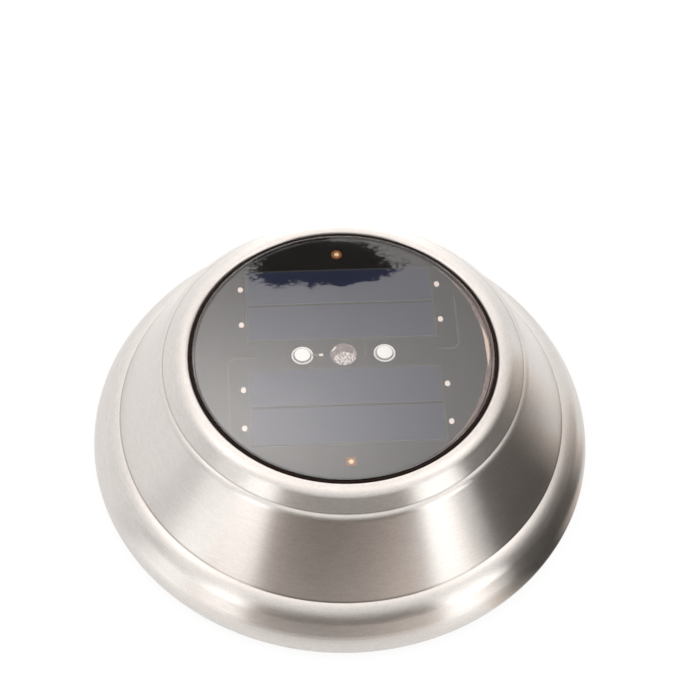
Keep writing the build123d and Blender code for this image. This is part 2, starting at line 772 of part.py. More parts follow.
def base_plate():
    """Underside plate with the stake socket, battery bay, switch slot and screw pads."""
    plate = disc(base_radius, base_z, base_top_z)
    rim_inner = housing_radius + RIM_FIT
    rim_top_z = base_top_z + RIM_HEIGHT
    plate += ring(rim_inner + RIM_WALL, rim_inner, base_top_z, rim_top_z)
    plate += ring(base_radius, base_radius - RIM_WALL, base_top_z, base_top_z + RIB_HEIGHT)
    for rib in base_ribs():
        plate += rib

    plate += disc(socket_outer, base_top_z, socket_top_z + SOCKET_WALL)
    plate += bay_box(base_top_z, bay_top_z, BAY_WALL)
    for side in (-1, 1):
        ear_x = side * door_ear_x
        boss_top_z = door_top_z + DOOR_SCREW_LENGTH + 0.5
        plate += disc(door_boss_radius, base_top_z, boss_top_z, ear_x, battery_y)
    for x, y in screw_places():
        plate += disc(PAD_RADIUS, base_top_z, pad_top_z, x, y)

    plate -= disc(SOCKET_RADIUS, base_z, socket_top_z)
    plate -= bay_box(base_z, bay_roof_z)
    for side in (-1, 1):
        plate -= tab_slot(side)
    recess = extrude(door_plan(DOOR_FIT), door_recess_z - base_z)
    plate -= Pos(0, battery_y, base_z) * recess
    for side in (-1, 1):
        ear_x = side * door_ear_x
        hole = DOOR_SCREW_RADIUS + DOOR_SCREW_FIT
        tip_z = door_top_z + DOOR_SCREW_LENGTH
        plate -= disc(hole, door_recess_z, tip_z, ear_x, battery_y)

    head_room = HOUSING_HEAD_RADIUS + HEAD_FIT
    head_z = base_z + HEAD_SINK + HOUSING_HEAD
    for x, y in screw_places():
        plate -= disc(head_room, base_z, head_z, x, y)
        plate -= disc(HOUSING_SCREW_RADIUS + THROUGH_FIT, head_z, pad_top_z, x, y)
    plate -= switch_cuts()
    mouth = plate.edges().filter_by(GeomType.CIRCLE).group_by(Axis.Z)[0]
    mouth = [e for e in mouth if abs(e.radius - SOCKET_RADIUS) < SOCKET_LEAD_IN / 2
             and abs(e.arc_center.Y) < SOCKET_LEAD_IN / 2]
    return chamfer(mouth, SOCKET_LEAD_IN)


def switch_cuts():
    """The finger dish, the knob's slot and the screw holes under the switch."""
    half_x = SWITCH_DISH_LENGTH / 2
    half_y = SWITCH_DISH_WIDTH / 2
    dish_z = base_z + SWITCH_DISH_DEPTH
    low = (-half_x, SWITCH_Y - half_y, base_z)
    cuts = block(low, (half_x, SWITCH_Y + half_y, dish_z))
    slot_x = (KNOB_STEM + SWITCH_TRAVEL) / 2 + SWITCH_FIT
    slot_y = KNOB_STEM_WIDTH / 2 + SWITCH_FIT
    low = (-slot_x, SWITCH_Y - slot_y, dish_z)
    cuts += block(low, (slot_x, SWITCH_Y + slot_y, base_top_z))
    hole = SWITCH_SCREW_RADIUS + SCREW_FIT
    bottom_z = base_top_z - SWITCH_SCREW_DEPTH - 0.2
    for side in (-1, 1):
        cuts += disc(hole, bottom_z, base_top_z, side * SWITCH_EAR_OFFSET, SWITCH_Y)
    return cuts


def housing_screws():
    """Screws from the underside into the lamp housing."""
    one = screw(HOUSING_HEAD_RADIUS, HOUSING_HEAD, HOUSING_SCREW_RADIUS, HOUSING_SCREW_LENGTH)
    head_z = base_z + HEAD_SINK + HOUSING_HEAD
    return Compound([Pos(x, y, head_z) * one for x, y in screw_places()])


def battery():
    """Round rechargeable cell lying along X, with its nub at the right."""
    outline = [
        (0, 0),
        (BATTERY_RADIUS, 0),
        (BATTERY_RADIUS, BATTERY_LENGTH),
        (BATTERY_NUB_RADIUS, BATTERY_LENGTH),
        (BATTERY_NUB_RADIUS, battery_whole),
        (0, battery_whole),
    ]
    soft = BATTERY_EDGE_ROUND
    nub_round = 0.3 * BATTERY_NUB
    can = turned(outline, [0.0, soft, soft, 0.0, nub_round, 0.0])
    left = battery_right - battery_whole
    return Pos(left, battery_y, battery_z) * Rot(0, 90, 0) * can


def contact_plate(side):
    """A contact's plate against the bay's end wall, with its tab through the roof."""
    outer = side * (bay_half_length - CONTACT_FIT / 2)
    inner = side * (bay_half_length - CONTACT_THICK)
    low_x = min(outer, inner)
    high_x = max(outer, inner)
    half = CONTACT_WIDTH / 2
    low = (low_x, battery_y - half, battery_z - half)
    plate = block(low, (high_x, battery_y + half, bay_roof_z - CONTACT_FIT))
    half = TAB_WIDTH / 2
    low = (low_x, battery_y - half, battery_z)
    return plate + block(low, (high_x, battery_y + half, bay_top_z + TAB_REACH))


def positive_contact():
    """Flat contact that meets the battery's nub."""
    return contact_plate(1)


def negative_contact():
    """Contact with a bowed leaf that pushes the battery towards its nub's end."""
    back = CONTACT_THICK - bay_half_length
    tip = battery_right - battery_whole - 0.05
    outline = [
        (back - CONTACT_THICK / 2, battery_z - LEAF_HALF_HEIGHT),
        (back + LEAF_THICK, battery_z - LEAF_HALF_HEIGHT),
        (tip, battery_z),
        (back + LEAF_THICK, battery_z + LEAF_HALF_HEIGHT),
        (back - CONTACT_THICK / 2, battery_z + LEAF_HALF_HEIGHT),
    ]
    face = sheet_face(outline[::-1], [LEAF_ROUND, LEAF_ROUND, LEAF_ROUND], LEAF_THICK)
    leaf = extrude(face, LEAF_WIDTH / 2, dir=(0, 1, 0), both=True)
    return contact_plate(-1) + Pos(0, battery_y, 0) * leaf


def battery_door():
    """Door with two screw ears and grip grooves on its outer face."""
    door = Pos(0, battery_y, base_z) * extrude(door_plan(0), DOOR_THICK)
    for side in (-1, 1):
        ear_x = side * door_ear_x
        head_room = DOOR_HEAD_RADIUS + DOOR_FIT / 2
        head_z = base_z + DOOR_HEAD
        door -= disc(head_room, base_z, head_z, ear_x, battery_y)
        hole = DOOR_SCREW_RADIUS + DOOR_SCREW_FIT
        door -= disc(hole, head_z, door_top_z, ear_x, battery_y)
    for i in range(GRIP_COUNT):
        y = battery_y + (i - (GRIP_COUNT - 1) / 2) * GRIP_PITCH
        half = GRIP_LENGTH / 2
        low = (-half, y - GRIP_WIDTH / 2, base_z)
        door -= block(low, (half, y + GRIP_WIDTH / 2, base_z + GRIP_DEPTH))
    return door


def door_seal():
    """Flat seal on the door, round the bay's opening."""
    outer_x = door_half_length - SEAL_MARGIN
    outer_y = door_half_width - SEAL_MARGIN
    inner_x = bay_half_length + SEAL_MARGIN
    inner_y = bay_half_width + SEAL_MARGIN
    top_z = door_top_z + DOOR_SEAL
    outer_low = (-outer_x, battery_y - outer_y, door_top_z)
    inner_low = (-inner_x, battery_y - inner_y, door_top_z)
    outer = block(outer_low, (outer_x, battery_y + outer_y, top_z))
    return outer - block(inner_low, (inner_x, battery_y + inner_y, top_z))


def door_pad():
    """Foam on the door that steadies the battery."""
    half_x = DOOR_PAD_LENGTH / 2
    half_y = DOOR_PAD_WIDTH / 2
    top_z = battery_z - BATTERY_RADIUS - DOOR_PAD_GAP
    low = (-half_x, battery_y - half_y, door_top_z)
    return block(low, (half_x, battery_y + half_y, top_z))


def door_screws():
    """The two screws that stay in the door's ears."""
    length = DOOR_THICK - DOOR_HEAD + DOOR_SCREW_LENGTH - 1
    one = screw(DOOR_HEAD_RADIUS, DOOR_HEAD, DOOR_SCREW_RADIUS, length)
    head_z = base_z + DOOR_HEAD
    return Compound([Pos(side * door_ear_x, battery_y, head_z) * one for side in (-1, 1)])


def switch_body():
    """Switch case with two ears, a cavity for the knob and two pins."""
    half_x = SWITCH_LENGTH / 2
    half_y = SWITCH_WIDTH / 2
    low = (-half_x, SWITCH_Y - half_y, base_top_z)
    case = block(low, (half_x, SWITCH_Y + half_y, switch_top_z))
    ear_top_z = base_top_z + SWITCH_EAR
    for side in (-1, 1):
        ear_x = side * SWITCH_EAR_OFFSET
        case += disc(SWITCH_EAR_RADIUS, base_top_z, ear_top_z, ear_x, SWITCH_Y)
        low = (min(0, ear_x), SWITCH_Y - SWITCH_EAR_RADIUS, base_top_z)
        case += block(low, (max(0, ear_x), SWITCH_Y + SWITCH_EAR_RADIUS, ear_top_z))
        pin_x = side * SWITCH_PIN_SPACING / 2
        pin_top_z = switch_top_z + SWITCH_PIN_REACH
        pin_z = switch_top_z - SWITCH_FIT
        case += disc(SWITCH_PIN_RADIUS, pin_z, pin_top_z, pin_x, SWITCH_Y)
    for side in (-1, 1):
        hole = SWITCH_SCREW_RADIUS + THROUGH_FIT
        case -= disc(hole, base_top_z, ear_top_z, side * SWITCH_EAR_OFFSET, SWITCH_Y)
    cavity_x = (KNOB_HEAD_LENGTH + SWITCH_TRAVEL) / 2 + SWITCH_FIT
    cavity_y = KNOB_HEAD_WIDTH / 2 + SWITCH_FIT
    low = (-cavity_x, SWITCH_Y - cavity_y, base_top_z)
    return case - block(low, (cavity_x, SWITCH_Y + cavity_y, switch_cavity_z))


def switch_knob():
    """Sliding knob, at the end of its travel where the light is on."""
    half_x = KNOB_STEM / 2
    half_y = KNOB_STEM_WIDTH / 2
    tip_z = base_z + KNOB_SINK
    stem_low = (-half_x, SWITCH_Y - half_y, tip_z)
    knob = block(stem_low, (half_x, SWITCH_Y + half_y, knob_head_z + KNOB_HEAD / 2))
    knob = chamfer(knob.edges().group_by(Axis.Z)[0], KNOB_GROOVE / 2)
    low = (-KNOB_GROOVE, SWITCH_Y - half_y, tip_z)
    knob -= block(low, (KNOB_GROOVE, SWITCH_Y + half_y, tip_z + KNOB_GROOVE))
    head_x = KNOB_HEAD_LENGTH / 2
    head_y = KNOB_HEAD_WIDTH / 2
    low = (-head_x, SWITCH_Y - head_y, knob_head_z)
    knob += block(low, (head_x, SWITCH_Y + head_y, knob_head_z + KNOB_HEAD))
    return Pos(knob_rest_x, 0, 0) * knob


def switch_screws():
    """Screws through the switch's ears into the base plate."""
    length = SWITCH_EAR + SWITCH_SCREW_DEPTH
    one = screw(SWITCH_HEAD_RADIUS, SWITCH_HEAD, SWITCH_SCREW_RADIUS, length)
    upright = Pos(0, 0, base_top_z + SWITCH_EAR) * Rot(180, 0, 0) * one
    places = [Pos(side * SWITCH_EAR_OFFSET, SWITCH_Y, 0) for side in (-1, 1)]
    return Compound([place * upright for place in places])


def lead(name, points):
    """An insulated wire along straight runs joined by tangent arcs."""
    corners = [Vector(*p) for p in points]
    radii = []
    for before, at, after in zip(corners, corners[1:], corners[2:]):
        arriving = at - before
        leaving = after - at
        half = math.radians(arriving.get_angle(leaving)) / 2
        shorter = min(arriving.length, leaving.length)
        radii.append(0.45 * shorter / math.tan(half))
    path = FilletPolyline(*corners, radius=radii)
    section = Plane(path @ 0, z_dir=path % 0) * Circle(LEAD_RADIUS)
    wire = sweep(section, path)
    runs = [round((b - a).length, 1) for a, b in zip(corners, corners[1:])]
    print(name, "runs", runs, "radii", [round(r, 1) for r in radii])
    print(name, "volume", round(wire.volume, 2), "section by length",
          round(math.pi * LEAD_RADIUS ** 2 * path.length, 2))
    return wire


def panel_lead(side):
    """Points from a panel terminal, down through the deck and up to the control board."""
    y = side * terminal_y
    pad_y = side * lead_pad_y
    swing = side * PANEL_LEAD_SWING
    low_z = bay_top_z + PANEL_LEAD_LIFT
    rise_z = (control_z + low_z) / 2
    bend_z = seat_z - PANEL_LEAD_DROP
    points = [
        (0, y, seat_z),
        (0, y, bend_z),
        (0, y - swing, (bend_z + low_z) / 2),
        (0, pad_y + swing, low_z),
        (0, pad_y, rise_z),
        (0, pad_y, control_z),
    ]
    return points


def battery_lead(side):
    """Points from a battery contact's tab up to the control board's corner."""
    tab_x = side * (bay_half_length - CONTACT_THICK / 2)
    tab_z = bay_top_z + TAB_REACH
    across = (side * lead_pad_x - tab_x, lead_pad_y - battery_y)
    lean = math.radians(BATTERY_LEAD_LEAN)
    part = BATTERY_LEAD_RUN * math.sin(lean) / math.hypot(*across)
    step_x = part * across[0]
    step_y = part * across[1]
    step_z = BATTERY_LEAD_RUN * math.cos(lean)
    low_z = tab_z + BATTERY_LEAD_RUN
    high_z = control_z - BATTERY_LEAD_RUN
    pad_x = side * lead_pad_x
    points = [
        (tab_x, battery_y, tab_z),
        (tab_x, battery_y, low_z),
        (tab_x + step_x, battery_y + step_y, low_z + step_z),
        (pad_x - step_x, lead_pad_y - step_y, high_z - step_z),
        (pad_x, lead_pad_y, high_z),
        (pad_x, lead_pad_y, control_z),
    ]
    return points


def switch_lead(side):
    """Points from a switch pin up to the control board."""
    pin_x = side * SWITCH_PIN_SPACING / 2
    pin_z = switch_top_z + SWITCH_PIN_REACH
    pad_x = side * SWITCH_LEAD_SPREAD / 2
    points = [
        (pin_x, SWITCH_Y, pin_z),
        (pin_x, SWITCH_Y, pin_z + SWITCH_LEAD_RUN),
        (pad_x, -lead_pad_y, control_z - SWITCH_LEAD_RUN),
        (pad_x, -lead_pad_y, control_z),
    ]
    return points


def pieces():
    """Every node of the light by name."""
    made = {
        "steel_shell": steel_shell(),
        "lens_gasket": lens_gasket(),
        "clear_lens": clear_lens(),
        "solar_board": solar_board(),
        "cell_joints": cell_joints(),
        "terminal_eyelets": terminal_eyelets(),
        "terminal_solder": terminal_solder(),
        "led_left": led(-led_x),
        "led_right": led(led_x),
        "led_bezels": led_bezels(),
        "light_pipe": light_pipe(),
        "light_sensor": light_sensor(),
        "control_board": control_board(),
        "driver_chip": driver_chip(),
        "inductor_core": inductor_core(),
        "inductor_coil": inductor_coil(),
        "capacitor": capacitor(),
        "control_board_screws": control_board_screws(),
        "lamp_housing": lamp_housing(),
        "housing_seal": housing_seal(),
        "base_plate": base_plate(),
        "housing_screws": housing_screws(),
        "battery": battery(),
        "positive_contact": positive_contact(),
        "negative_contact": negative_contact(),
        "battery_door": battery_door(),
        "door_seal": door_seal(),
        "door_pad": door_pad(),
        "door_screws": door_screws(),
        "switch_body": switch_body(),
        "switch_knob": switch_knob(),
        "switch_screws": switch_screws(),
    }
    for number, y in enumerate(cell_rows(), start=1):
        made[f"solar_cell_{number}"] = solar_cell(y)
    routes = {
        "panel_lead_red": panel_lead(1),
        "panel_lead_black": panel_lead(-1),
        "battery_lead_red": battery_lead(1),
        "battery_lead_black": battery_lead(-1),
        "switch_lead_left": switch_lead(-1),
        "switch_lead_right": switch_lead(1),
    }
    for name, points in routes.items():
        made[name] = lead(name, points)
    return made


os.makedirs("parts", exist_ok=True)
for node, shape in pieces().items():
    export_step(shape, f"parts/{node}.step")
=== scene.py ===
"""A solar path light: finishes, finer pieces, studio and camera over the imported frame."""
import logging
import math
from dataclasses import dataclass
from enum import Enum
from typing import ClassVar, Sequence

import bmesh
import bpy
from mathutils import Matrix, Vector, noise


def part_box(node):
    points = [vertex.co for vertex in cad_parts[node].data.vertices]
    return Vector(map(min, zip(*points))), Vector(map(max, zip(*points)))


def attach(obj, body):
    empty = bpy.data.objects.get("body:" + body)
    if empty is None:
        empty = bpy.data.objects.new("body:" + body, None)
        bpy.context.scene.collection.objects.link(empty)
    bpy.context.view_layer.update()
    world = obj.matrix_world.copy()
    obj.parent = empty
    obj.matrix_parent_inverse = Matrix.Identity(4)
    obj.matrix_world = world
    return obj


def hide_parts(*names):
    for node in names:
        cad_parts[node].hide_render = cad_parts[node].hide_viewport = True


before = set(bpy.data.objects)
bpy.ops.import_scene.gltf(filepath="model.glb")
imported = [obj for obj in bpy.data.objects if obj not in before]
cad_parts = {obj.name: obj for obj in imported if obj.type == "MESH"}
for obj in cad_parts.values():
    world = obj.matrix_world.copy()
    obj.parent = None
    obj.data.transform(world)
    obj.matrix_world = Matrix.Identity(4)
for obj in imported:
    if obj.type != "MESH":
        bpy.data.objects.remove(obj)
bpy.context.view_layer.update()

MM = 0.001
TURN = math.tau
IMAGE_SIDE = 700
SENSOR = 36.0

log = logging.getLogger("path_light")

Colour = tuple[float, float, float]
Triple = tuple[float, float, float]
Point = tuple[float, float]
WHITE = (1.0, 1.0, 1.0)


class Body(Enum):
    """The bodies of the frame that a piece can ride on."""

    LIGHT = "light"
    SWITCH = "switch"
    DOOR = "door"


def rgba(colour: Colour) -> tuple[float, float, float, float]:
    """The four numbers that a colour socket takes."""
    return (*colour, 1.0)


class Socket:
    """A node's output that takes part in Python expressions."""

    def __init__(self, graph: "Graph", output: bpy.types.NodeSocket) -> None:
        """Keeps the output and the graph that it belongs to."""
        self.graph = graph
        self.output = output

    def __add__(self, other: "Socket | float") -> "Socket":
        """Sum."""
        return self.graph.math("ADD", self, other)

    def __radd__(self, other: float) -> "Socket":
        """Sum with a number first."""
        return self.graph.math("ADD", other, self)

    def __sub__(self, other: "Socket | float") -> "Socket":
        """Difference."""
        return self.graph.math("SUBTRACT", self, other)

    def __rsub__(self, other: float) -> "Socket":
        """Difference from a number."""
        return self.graph.math("SUBTRACT", other, self)

    def __mul__(self, other: "Socket | float") -> "Socket":
        """Product."""
        return self.graph.math("MULTIPLY", self, other)

    def __rmul__(self, other: float) -> "Socket":
        """Product with a number first."""
        return self.graph.math("MULTIPLY", other, self)

    def __truediv__(self, other: "Socket | float") -> "Socket":
        """Quotient."""
        return self.graph.math("DIVIDE", self, other)

    def __pow__(self, other: float) -> "Socket":
        """Power."""
        return self.graph.math("POWER", self, other)

    def __abs__(self) -> "Socket":
        """Size without sign."""
        return self.graph.math("ABSOLUTE", self)

    def clamped(self) -> "Socket":
        """The value held between 0 and 1."""
        return self.graph.add("ShaderNodeClamp", inputs={0: self})

    def other(self, name: str) -> "Socket":
        """Another output of the same node."""
        return Socket(self.graph, self.output.node.outputs[name])


class Graph:
    """One material's nodes."""

    def __init__(self, tree: bpy.types.NodeTree, output_kind: str) -> None:
        """Empties the tree and adds its output node.

        Args:
            tree: The node tree to fill.
            output_kind: The type of its output node.
        """
        tree.nodes.clear()
        self.tree = tree
        self.end = tree.nodes.new(output_kind)

    def add(
        self,
        kind: str,
        settings: dict[str, object] | None = None,
        inputs: dict[int | str, object] | None = None,
        output: int | str = 0,
    ) -> Socket:
        """Adds a node.

        Args:
            kind: The node's type.
            settings: Its properties, set before its sockets; stops are a ramp's.
            inputs: Values or links by socket.
            output: The output to hand back.

        Returns:
            That output.
        """
        node = self.tree.nodes.new(kind)
        for name, value in (settings or {}).items():
            if name == "stops":
                elements = node.color_ramp.elements
                while len(elements) < len(value):
                    elements.new(1.0)
                for element, (place, colour) in zip(elements, value):
                    element.position = place
                    element.color = rgba(colour)
            else:
                setattr(node, name, value)
        for name, value in (inputs or {}).items():
            if isinstance(value, Socket):
                self.tree.links.new(value.output, node.inputs[name])
            else:
                node.inputs[name].default_value = value
        return Socket(self, node.outputs[output])

    def math(self, operation: str, *values: "Socket | float") -> Socket:
        """One Math node over the values."""
        return self.add("ShaderNodeMath", {"operation": operation}, dict(enumerate(values)))

    def finish(self, surface: Socket) -> None:
        """Links the surface to the output node."""
        self.tree.links.new(surface.output, self.end.inputs["Surface"])

    def place(self) -> Socket:
        """The point in the object's own frame, in metres."""
        return self.add("ShaderNodeTexCoord", output="Object")

    def parts(self, vector: Socket) -> tuple[Socket, Socket, Socket]:
        """The three numbers of a vector."""
        x = self.add("ShaderNodeSeparateXYZ", inputs={0: vector})
        return x, x.other("Y"), x.other("Z")

    def vector(self, x: "Socket | float", y: "Socket | float", z: "Socket | float") -> Socket:
        """A vector of three numbers."""
        return self.add("ShaderNodeCombineXYZ", inputs={0: x, 1: y, 2: z})

    def noise(
        self,
        vector: Socket,
        scale: float,
        detail: float = 3.0,
        roughness: float = 0.5,
        w: Socket | None = None,
    ) -> Socket:
        """Noise from 0 to 1, over four dimensions where w is given.

        Args:
            vector: Where it is read.
            scale: Its scale.
            detail: Octaves.
            roughness: How much the finer octaves weigh.
            w: The fourth coordinate.

        Returns:
            The noise.
        """
        inputs = {"Vector": vector, "Scale": scale, "Detail": detail, "Roughness": roughness}
        if w is not None:
            inputs["W"] = w
        settings = {"noise_dimensions": "3D" if w is None else "4D"}
        return self.add("ShaderNodeTexNoise", settings, inputs)

    def cells(self, vector: Socket, scale: float) -> Socket:
        """Distance to the nearest point of a Voronoi pattern."""
        return self.add("ShaderNodeTexVoronoi", inputs={"Vector": vector, "Scale": scale})

    def band(self, value: Socket, low: float, high: float) -> Socket:
        """A smooth step that rises from low to high, or falls where low is more."""
        return self.add(
            "ShaderNodeMapRange",
            {"interpolation_type": "SMOOTHSTEP"},
            {"Value": value, "From Min": low, "From Max": high},
        )

    def mix(
        self,
        factor: "Socket | float",
        first: "Socket | Colour",
        second: "Socket | Colour",
        way: str = "MIX",
    ) -> Socket:
        """A blend of two colours."""
        ends = [c if isinstance(c, Socket) else rgba(c) for c in (first, second)]
        settings = {"data_type": "RGBA", "blend_type": way}
        return self.add("ShaderNodeMix", settings, {0: factor, 6: ends[0], 7: ends[1]}, 2)

    def shade(self, colour: Colour, value: Socket, spread: float) -> Socket:
        """A colour made darker and lighter round its own level by a value from 0 to 1."""
        low = tuple(max(0.0, c * (1 - spread)) for c in colour)
        high = tuple(min(1.0, c * (1 + spread)) for c in colour)
        return self.mix(value, low, high)

    def bump(self, height: Socket, strength: float, distance: float) -> Socket:
        """A bumped normal, with the distance in millimetres."""
        inputs = {"Height": height, "Strength": strength, "Distance": distance * MM}
        return self.add("ShaderNodeBump", inputs=inputs)

    def principled(self, **inputs: object) -> Socket:
        """A Principled shader; an underscore stands for a space in its sockets' names."""
        named = {name.replace("_", " "): value for name, value in inputs.items()}
        for name, value in named.items():
            if isinstance(value, tuple) and len(value) == 3:
                named[name] = rgba(value)
        return self.add("ShaderNodeBsdfPrincipled", inputs=named)

    def blend(self, factor: "Socket | float", first: Socket, second: Socket) -> Socket:
        """A blend of two shaders."""
        return self.add("ShaderNodeMixShader", inputs={0: factor, 1: first, 2: second})

    def glow(self, colour: "Socket | Colour", level: "Socket | float") -> Socket:
        """A shader that gives light."""
        tint = colour if isinstance(colour, Socket) else rgba(colour)
        return self.add("ShaderNodeEmission", inputs={0: tint, 1: level})


def new_material(name: str) -> tuple[bpy.types.Material, Graph]:
    """A material and its emptied nodes."""
    material = bpy.data.materials.new(name)
    material.use_nodes = True
    return material, Graph(material.node_tree, "ShaderNodeOutputMaterial")


def length(x: Socket, y: Socket) -> Socket:
    """The distance of a point from the middle of its plane."""
    return (x * x + y * y) ** 0.5


@dataclass(frozen=True)
class Finish:
    """A finish that a piece can wear."""

    name: str

    made: ClassVar[dict[str, bpy.types.Material]] = {}

    def material(self) -> bpy.types.Material:
        """The finish's material, made once."""
        if self.name not in Finish.made:
            material, graph = new_material(self.name)
            graph.finish(self.surface(graph))
            Finish.made[self.name] = material
        return Finish.made[self.name]

    def surface(self, graph: Graph) -> Socket:
        """The finish's shader."""
        raise NotImplementedError


@dataclass(frozen=True)
class SpunSteel(Finish):
    """Stainless steel brushed round the light's axis.

    Streaks are scales round the axis, to a radian, and across it, to a metre. Creases are
    radii in millimetres, where painted shade darkens the steel.
    """

    colour: Colour = (0.7, 0.662, 0.628)
    rough: float = 0.3
    stretch: float = 0.82
    fine_streaks: Point = (26.0, 2400.0)
    broad_streaks: Point = (8.0, 800.0)
    grain_scale: float = 1900.0
    weights: Triple = (0.4, 0.15, 0.45)
    creases: Point = (51.05, 64.6)
    crease_reach: Point = (0.26, 0.08)
    crease_shade_depth: float = 0.32
    crease_shade_colour: Colour = (0.1, 0.08, 0.065)

    def surface(self, graph: Graph) -> Socket:
        """Short streaks round the axis over a fine grain, with painted shade in the creases."""
        place = graph.place()
        x, y, z = graph.parts(place)
        radius = length(x, y)
        layers = (
            self.streaks(graph, (x, y, z), radius, self.fine_streaks),
            self.streaks(graph, (x, y, z), radius, self.broad_streaks),
            graph.noise(place, self.grain_scale, 2.0, 0.65),
        )
        fine, broad, grain = (layer * weight for layer, weight in zip(layers, self.weights))
        brushed = fine + broad + grain
        # Painted shade: a darker line along each crease, mixed into the base colour.
        off = (abs(radius / MM - crease) for crease in self.creases)
        crease = graph.math("MAXIMUM", *(graph.band(gap, *self.crease_reach) for gap in off))
        steel = graph.shade(self.colour, graph.band(brushed, 0.36, 0.64), 0.06)
        return graph.principled(
            Base_Color=graph.mix(crease * self.crease_shade_depth, steel, self.crease_shade_colour),
            Metallic=1.0,
            Roughness=self.rough + (brushed - 0.5) * 0.14,
            Anisotropic=self.stretch,
            Anisotropic_Rotation=0.25,
            Normal=graph.bump(brushed, 0.3, 0.03),
        )

    @staticmethod
    def streaks(graph: Graph, place: Sequence[Socket], radius: Socket, scales: Point) -> Socket:
        """Noise drawn out round the axis.

        Args:
            graph: The material's nodes.
            place: The point's three coordinates.
            radius: Its distance from the axis.
            scales: Streaks to a radian round the axis, and to a metre across it.

        Returns:
            The streaks, from 0 to 1.
        """
        x, y, z = place
        turned, across = scales
        spot = graph.vector(x / radius * turned, y / radius * turned, z * across)
        return graph.noise(spot, 1.0, 2.0, 0.55, radius * across)


@dataclass(frozen=True)
class Rubber(Finish):
    """Moulded rubber, a little dusty."""

    colour: Colour = (0.014, 0.005, 0.003)
    rough: float = 0.62

    def surface(self, graph: Graph) -> Socket:
        """Fine grain over slow dusty patches."""
        place = graph.place()
        dust = graph.noise(place, 160.0)
        grain = graph.noise(place, 2600.0)
        return graph.principled(
            Base_Color=graph.shade(self.colour, dust, 0.5),
            Roughness=self.rough + dust * 0.2,
            Specular_IOR_Level=0.12,
            Normal=graph.bump(grain, 0.4, 0.03),
        )


@dataclass(frozen=True)
class ClearPlastic(Finish):
    """Clear plastic that lets lamps through."""

    colour: Colour = (0.985, 0.985, 0.98)
    ior: float = 1.72

    def surface(self, graph: Graph) -> Socket:
        """Clear plastic that casts no dark shadow on what it covers."""
        swell = graph.noise(graph.place(), 30.0, 2.0)
        clear = graph.principled(
            Base_Color=self.colour,
            Roughness=0.0,
            IOR=self.ior,
            Transmission_Weight=1.0,
            Normal=graph.bump(swell, 0.05, 0.02),
        )
        open_way = graph.add("ShaderNodeBsdfTransparent", inputs={0: rgba(self.colour)})
        shadow = graph.add("ShaderNodeLightPath", output="Is Shadow Ray")
        return graph.blend(shadow, clear, open_way)


@dataclass(frozen=True)
class CrinkledResin(Finish):
    """Clear resin with a crinkled, cloudy skin and a white patch off its middle.

    The patch and the glint, a painted highlight, have their places and half sizes in millimetres.
    """

    thin: Colour = (0.13, 0.085, 0.078)
    cloudy: Colour = (0.33, 0.27, 0.265)
    crest_and_glint: Colour = (0.97, 0.9, 0.88)
    ragged_scale: float = 1300.0
    fold_scale: float = 1050.0
    ring_pitch: float = 3.4
    patch_centre: Point = (0.5, -1.8)
    patch_size: Point = (3.1, 2.2)
    glint_centre: Point = (-2.6, 1.8)
    glint_way: Point = (0.58, 0.81)
    glint_size: Point = (1.1, 0.22)

    def surface(self, graph: Graph) -> Socket:
        """Fine folds over a pinkish body, whiter in the patch, with one painted highlight, the
        glint.
        """
        place = graph.place()
        x, y, _ = graph.parts(place)
        x, y = x / MM, y / MM
        ragged = graph.noise(place, self.ragged_scale, 3.0, 0.6) - 0.5
        along = (x - self.patch_centre[0]) / self.patch_size[0] + ragged * 0.6
        across = (y - self.patch_centre[1]) / self.patch_size[1] + ragged * 0.6
        patch = graph.band(along * along + across * across, 1.1, 0.9)
        folds = graph.noise(place, self.fold_scale, 2.0, 0.6)
        lines = graph.band(abs(folds - 0.5), 0.06, 0.01) * (patch * 0.85 + 0.15)
        arcs = graph.noise(graph.vector(length(x, y) * self.ring_pitch, x * 0.5, y * 0.5), 1.0)
        rings = graph.band(arcs, 0.52, 0.66) * 0.26 * (1 - patch)
        # The glint is a painted highlight, mixed into the base colour with the lines and rings.
        white = (lines + rings + self.glint(graph, x, y)).clamped()
        body = graph.mix(patch, self.thin, self.cloudy)
        return graph.principled(
            Base_Color=graph.mix(white, body, self.crest_and_glint),
            Roughness=0.2 + ragged * 0.2,
            Coat_Weight=0.4,
            Coat_Roughness=0.1,
            Normal=graph.bump(folds, 0.6, 0.1),
        )

    def glint(self, graph: Graph, x: Socket, y: Socket) -> Socket:
        """A painted highlight: 1 along a short slanted line, fading to 0 beside it.

        Args:
            graph: The material's nodes.
            x: The point's place across, in millimetres.
            y: Its place along.

        Returns:
            The glint.
        """
        x, y = x - self.glint_centre[0], y - self.glint_centre[1]
        way_x, way_y = self.glint_way
        long_reach, wide_reach = self.glint_size
        narrow = graph.band(abs(x * way_y - y * way_x), wide_reach, wide_reach - 0.12)
        return narrow * graph.band(abs(x * way_x + y * way_y), long_reach, long_reach - 0.4)


@dataclass(frozen=True)
class Glossy(Finish):
    """A smooth hard surface: lacquer, resin, silicon or a printed sleeve."""

    colour: Colour = (0.5, 0.5, 0.5)
    rough: float = 0.25
    mottle: float = 0.15
    scale: float = 300.0
    coat: float = 0.0
    peel: float = 0.15
    sheen: float = 0.5
    tint: Colour = WHITE

    def surface(self, graph: Graph) -> Socket:
        """Slow mottling under a faint orange peel."""
        place = graph.place()
        patch = graph.noise(place, self.scale)
        peel = graph.noise(place, self.scale * 6)
        return graph.principled(
            Base_Color=graph.shade(self.colour, patch, self.mottle),
            Roughness=self.rough + (patch - 0.5) * 0.12,
            Specular_IOR_Level=self.sheen,
            Specular_Tint=self.tint,
            Coat_Weight=self.coat,
            Coat_Roughness=0.03,
            **self.relief(graph, peel),
        )

    def relief(self, graph: Graph, peel: Socket) -> dict[str, Socket]:
        """The bumped normal, unless the surface is as smooth as glass."""
        if not self.peel:
            return {}
        return {"Normal": graph.bump(peel, self.peel, 0.02)}


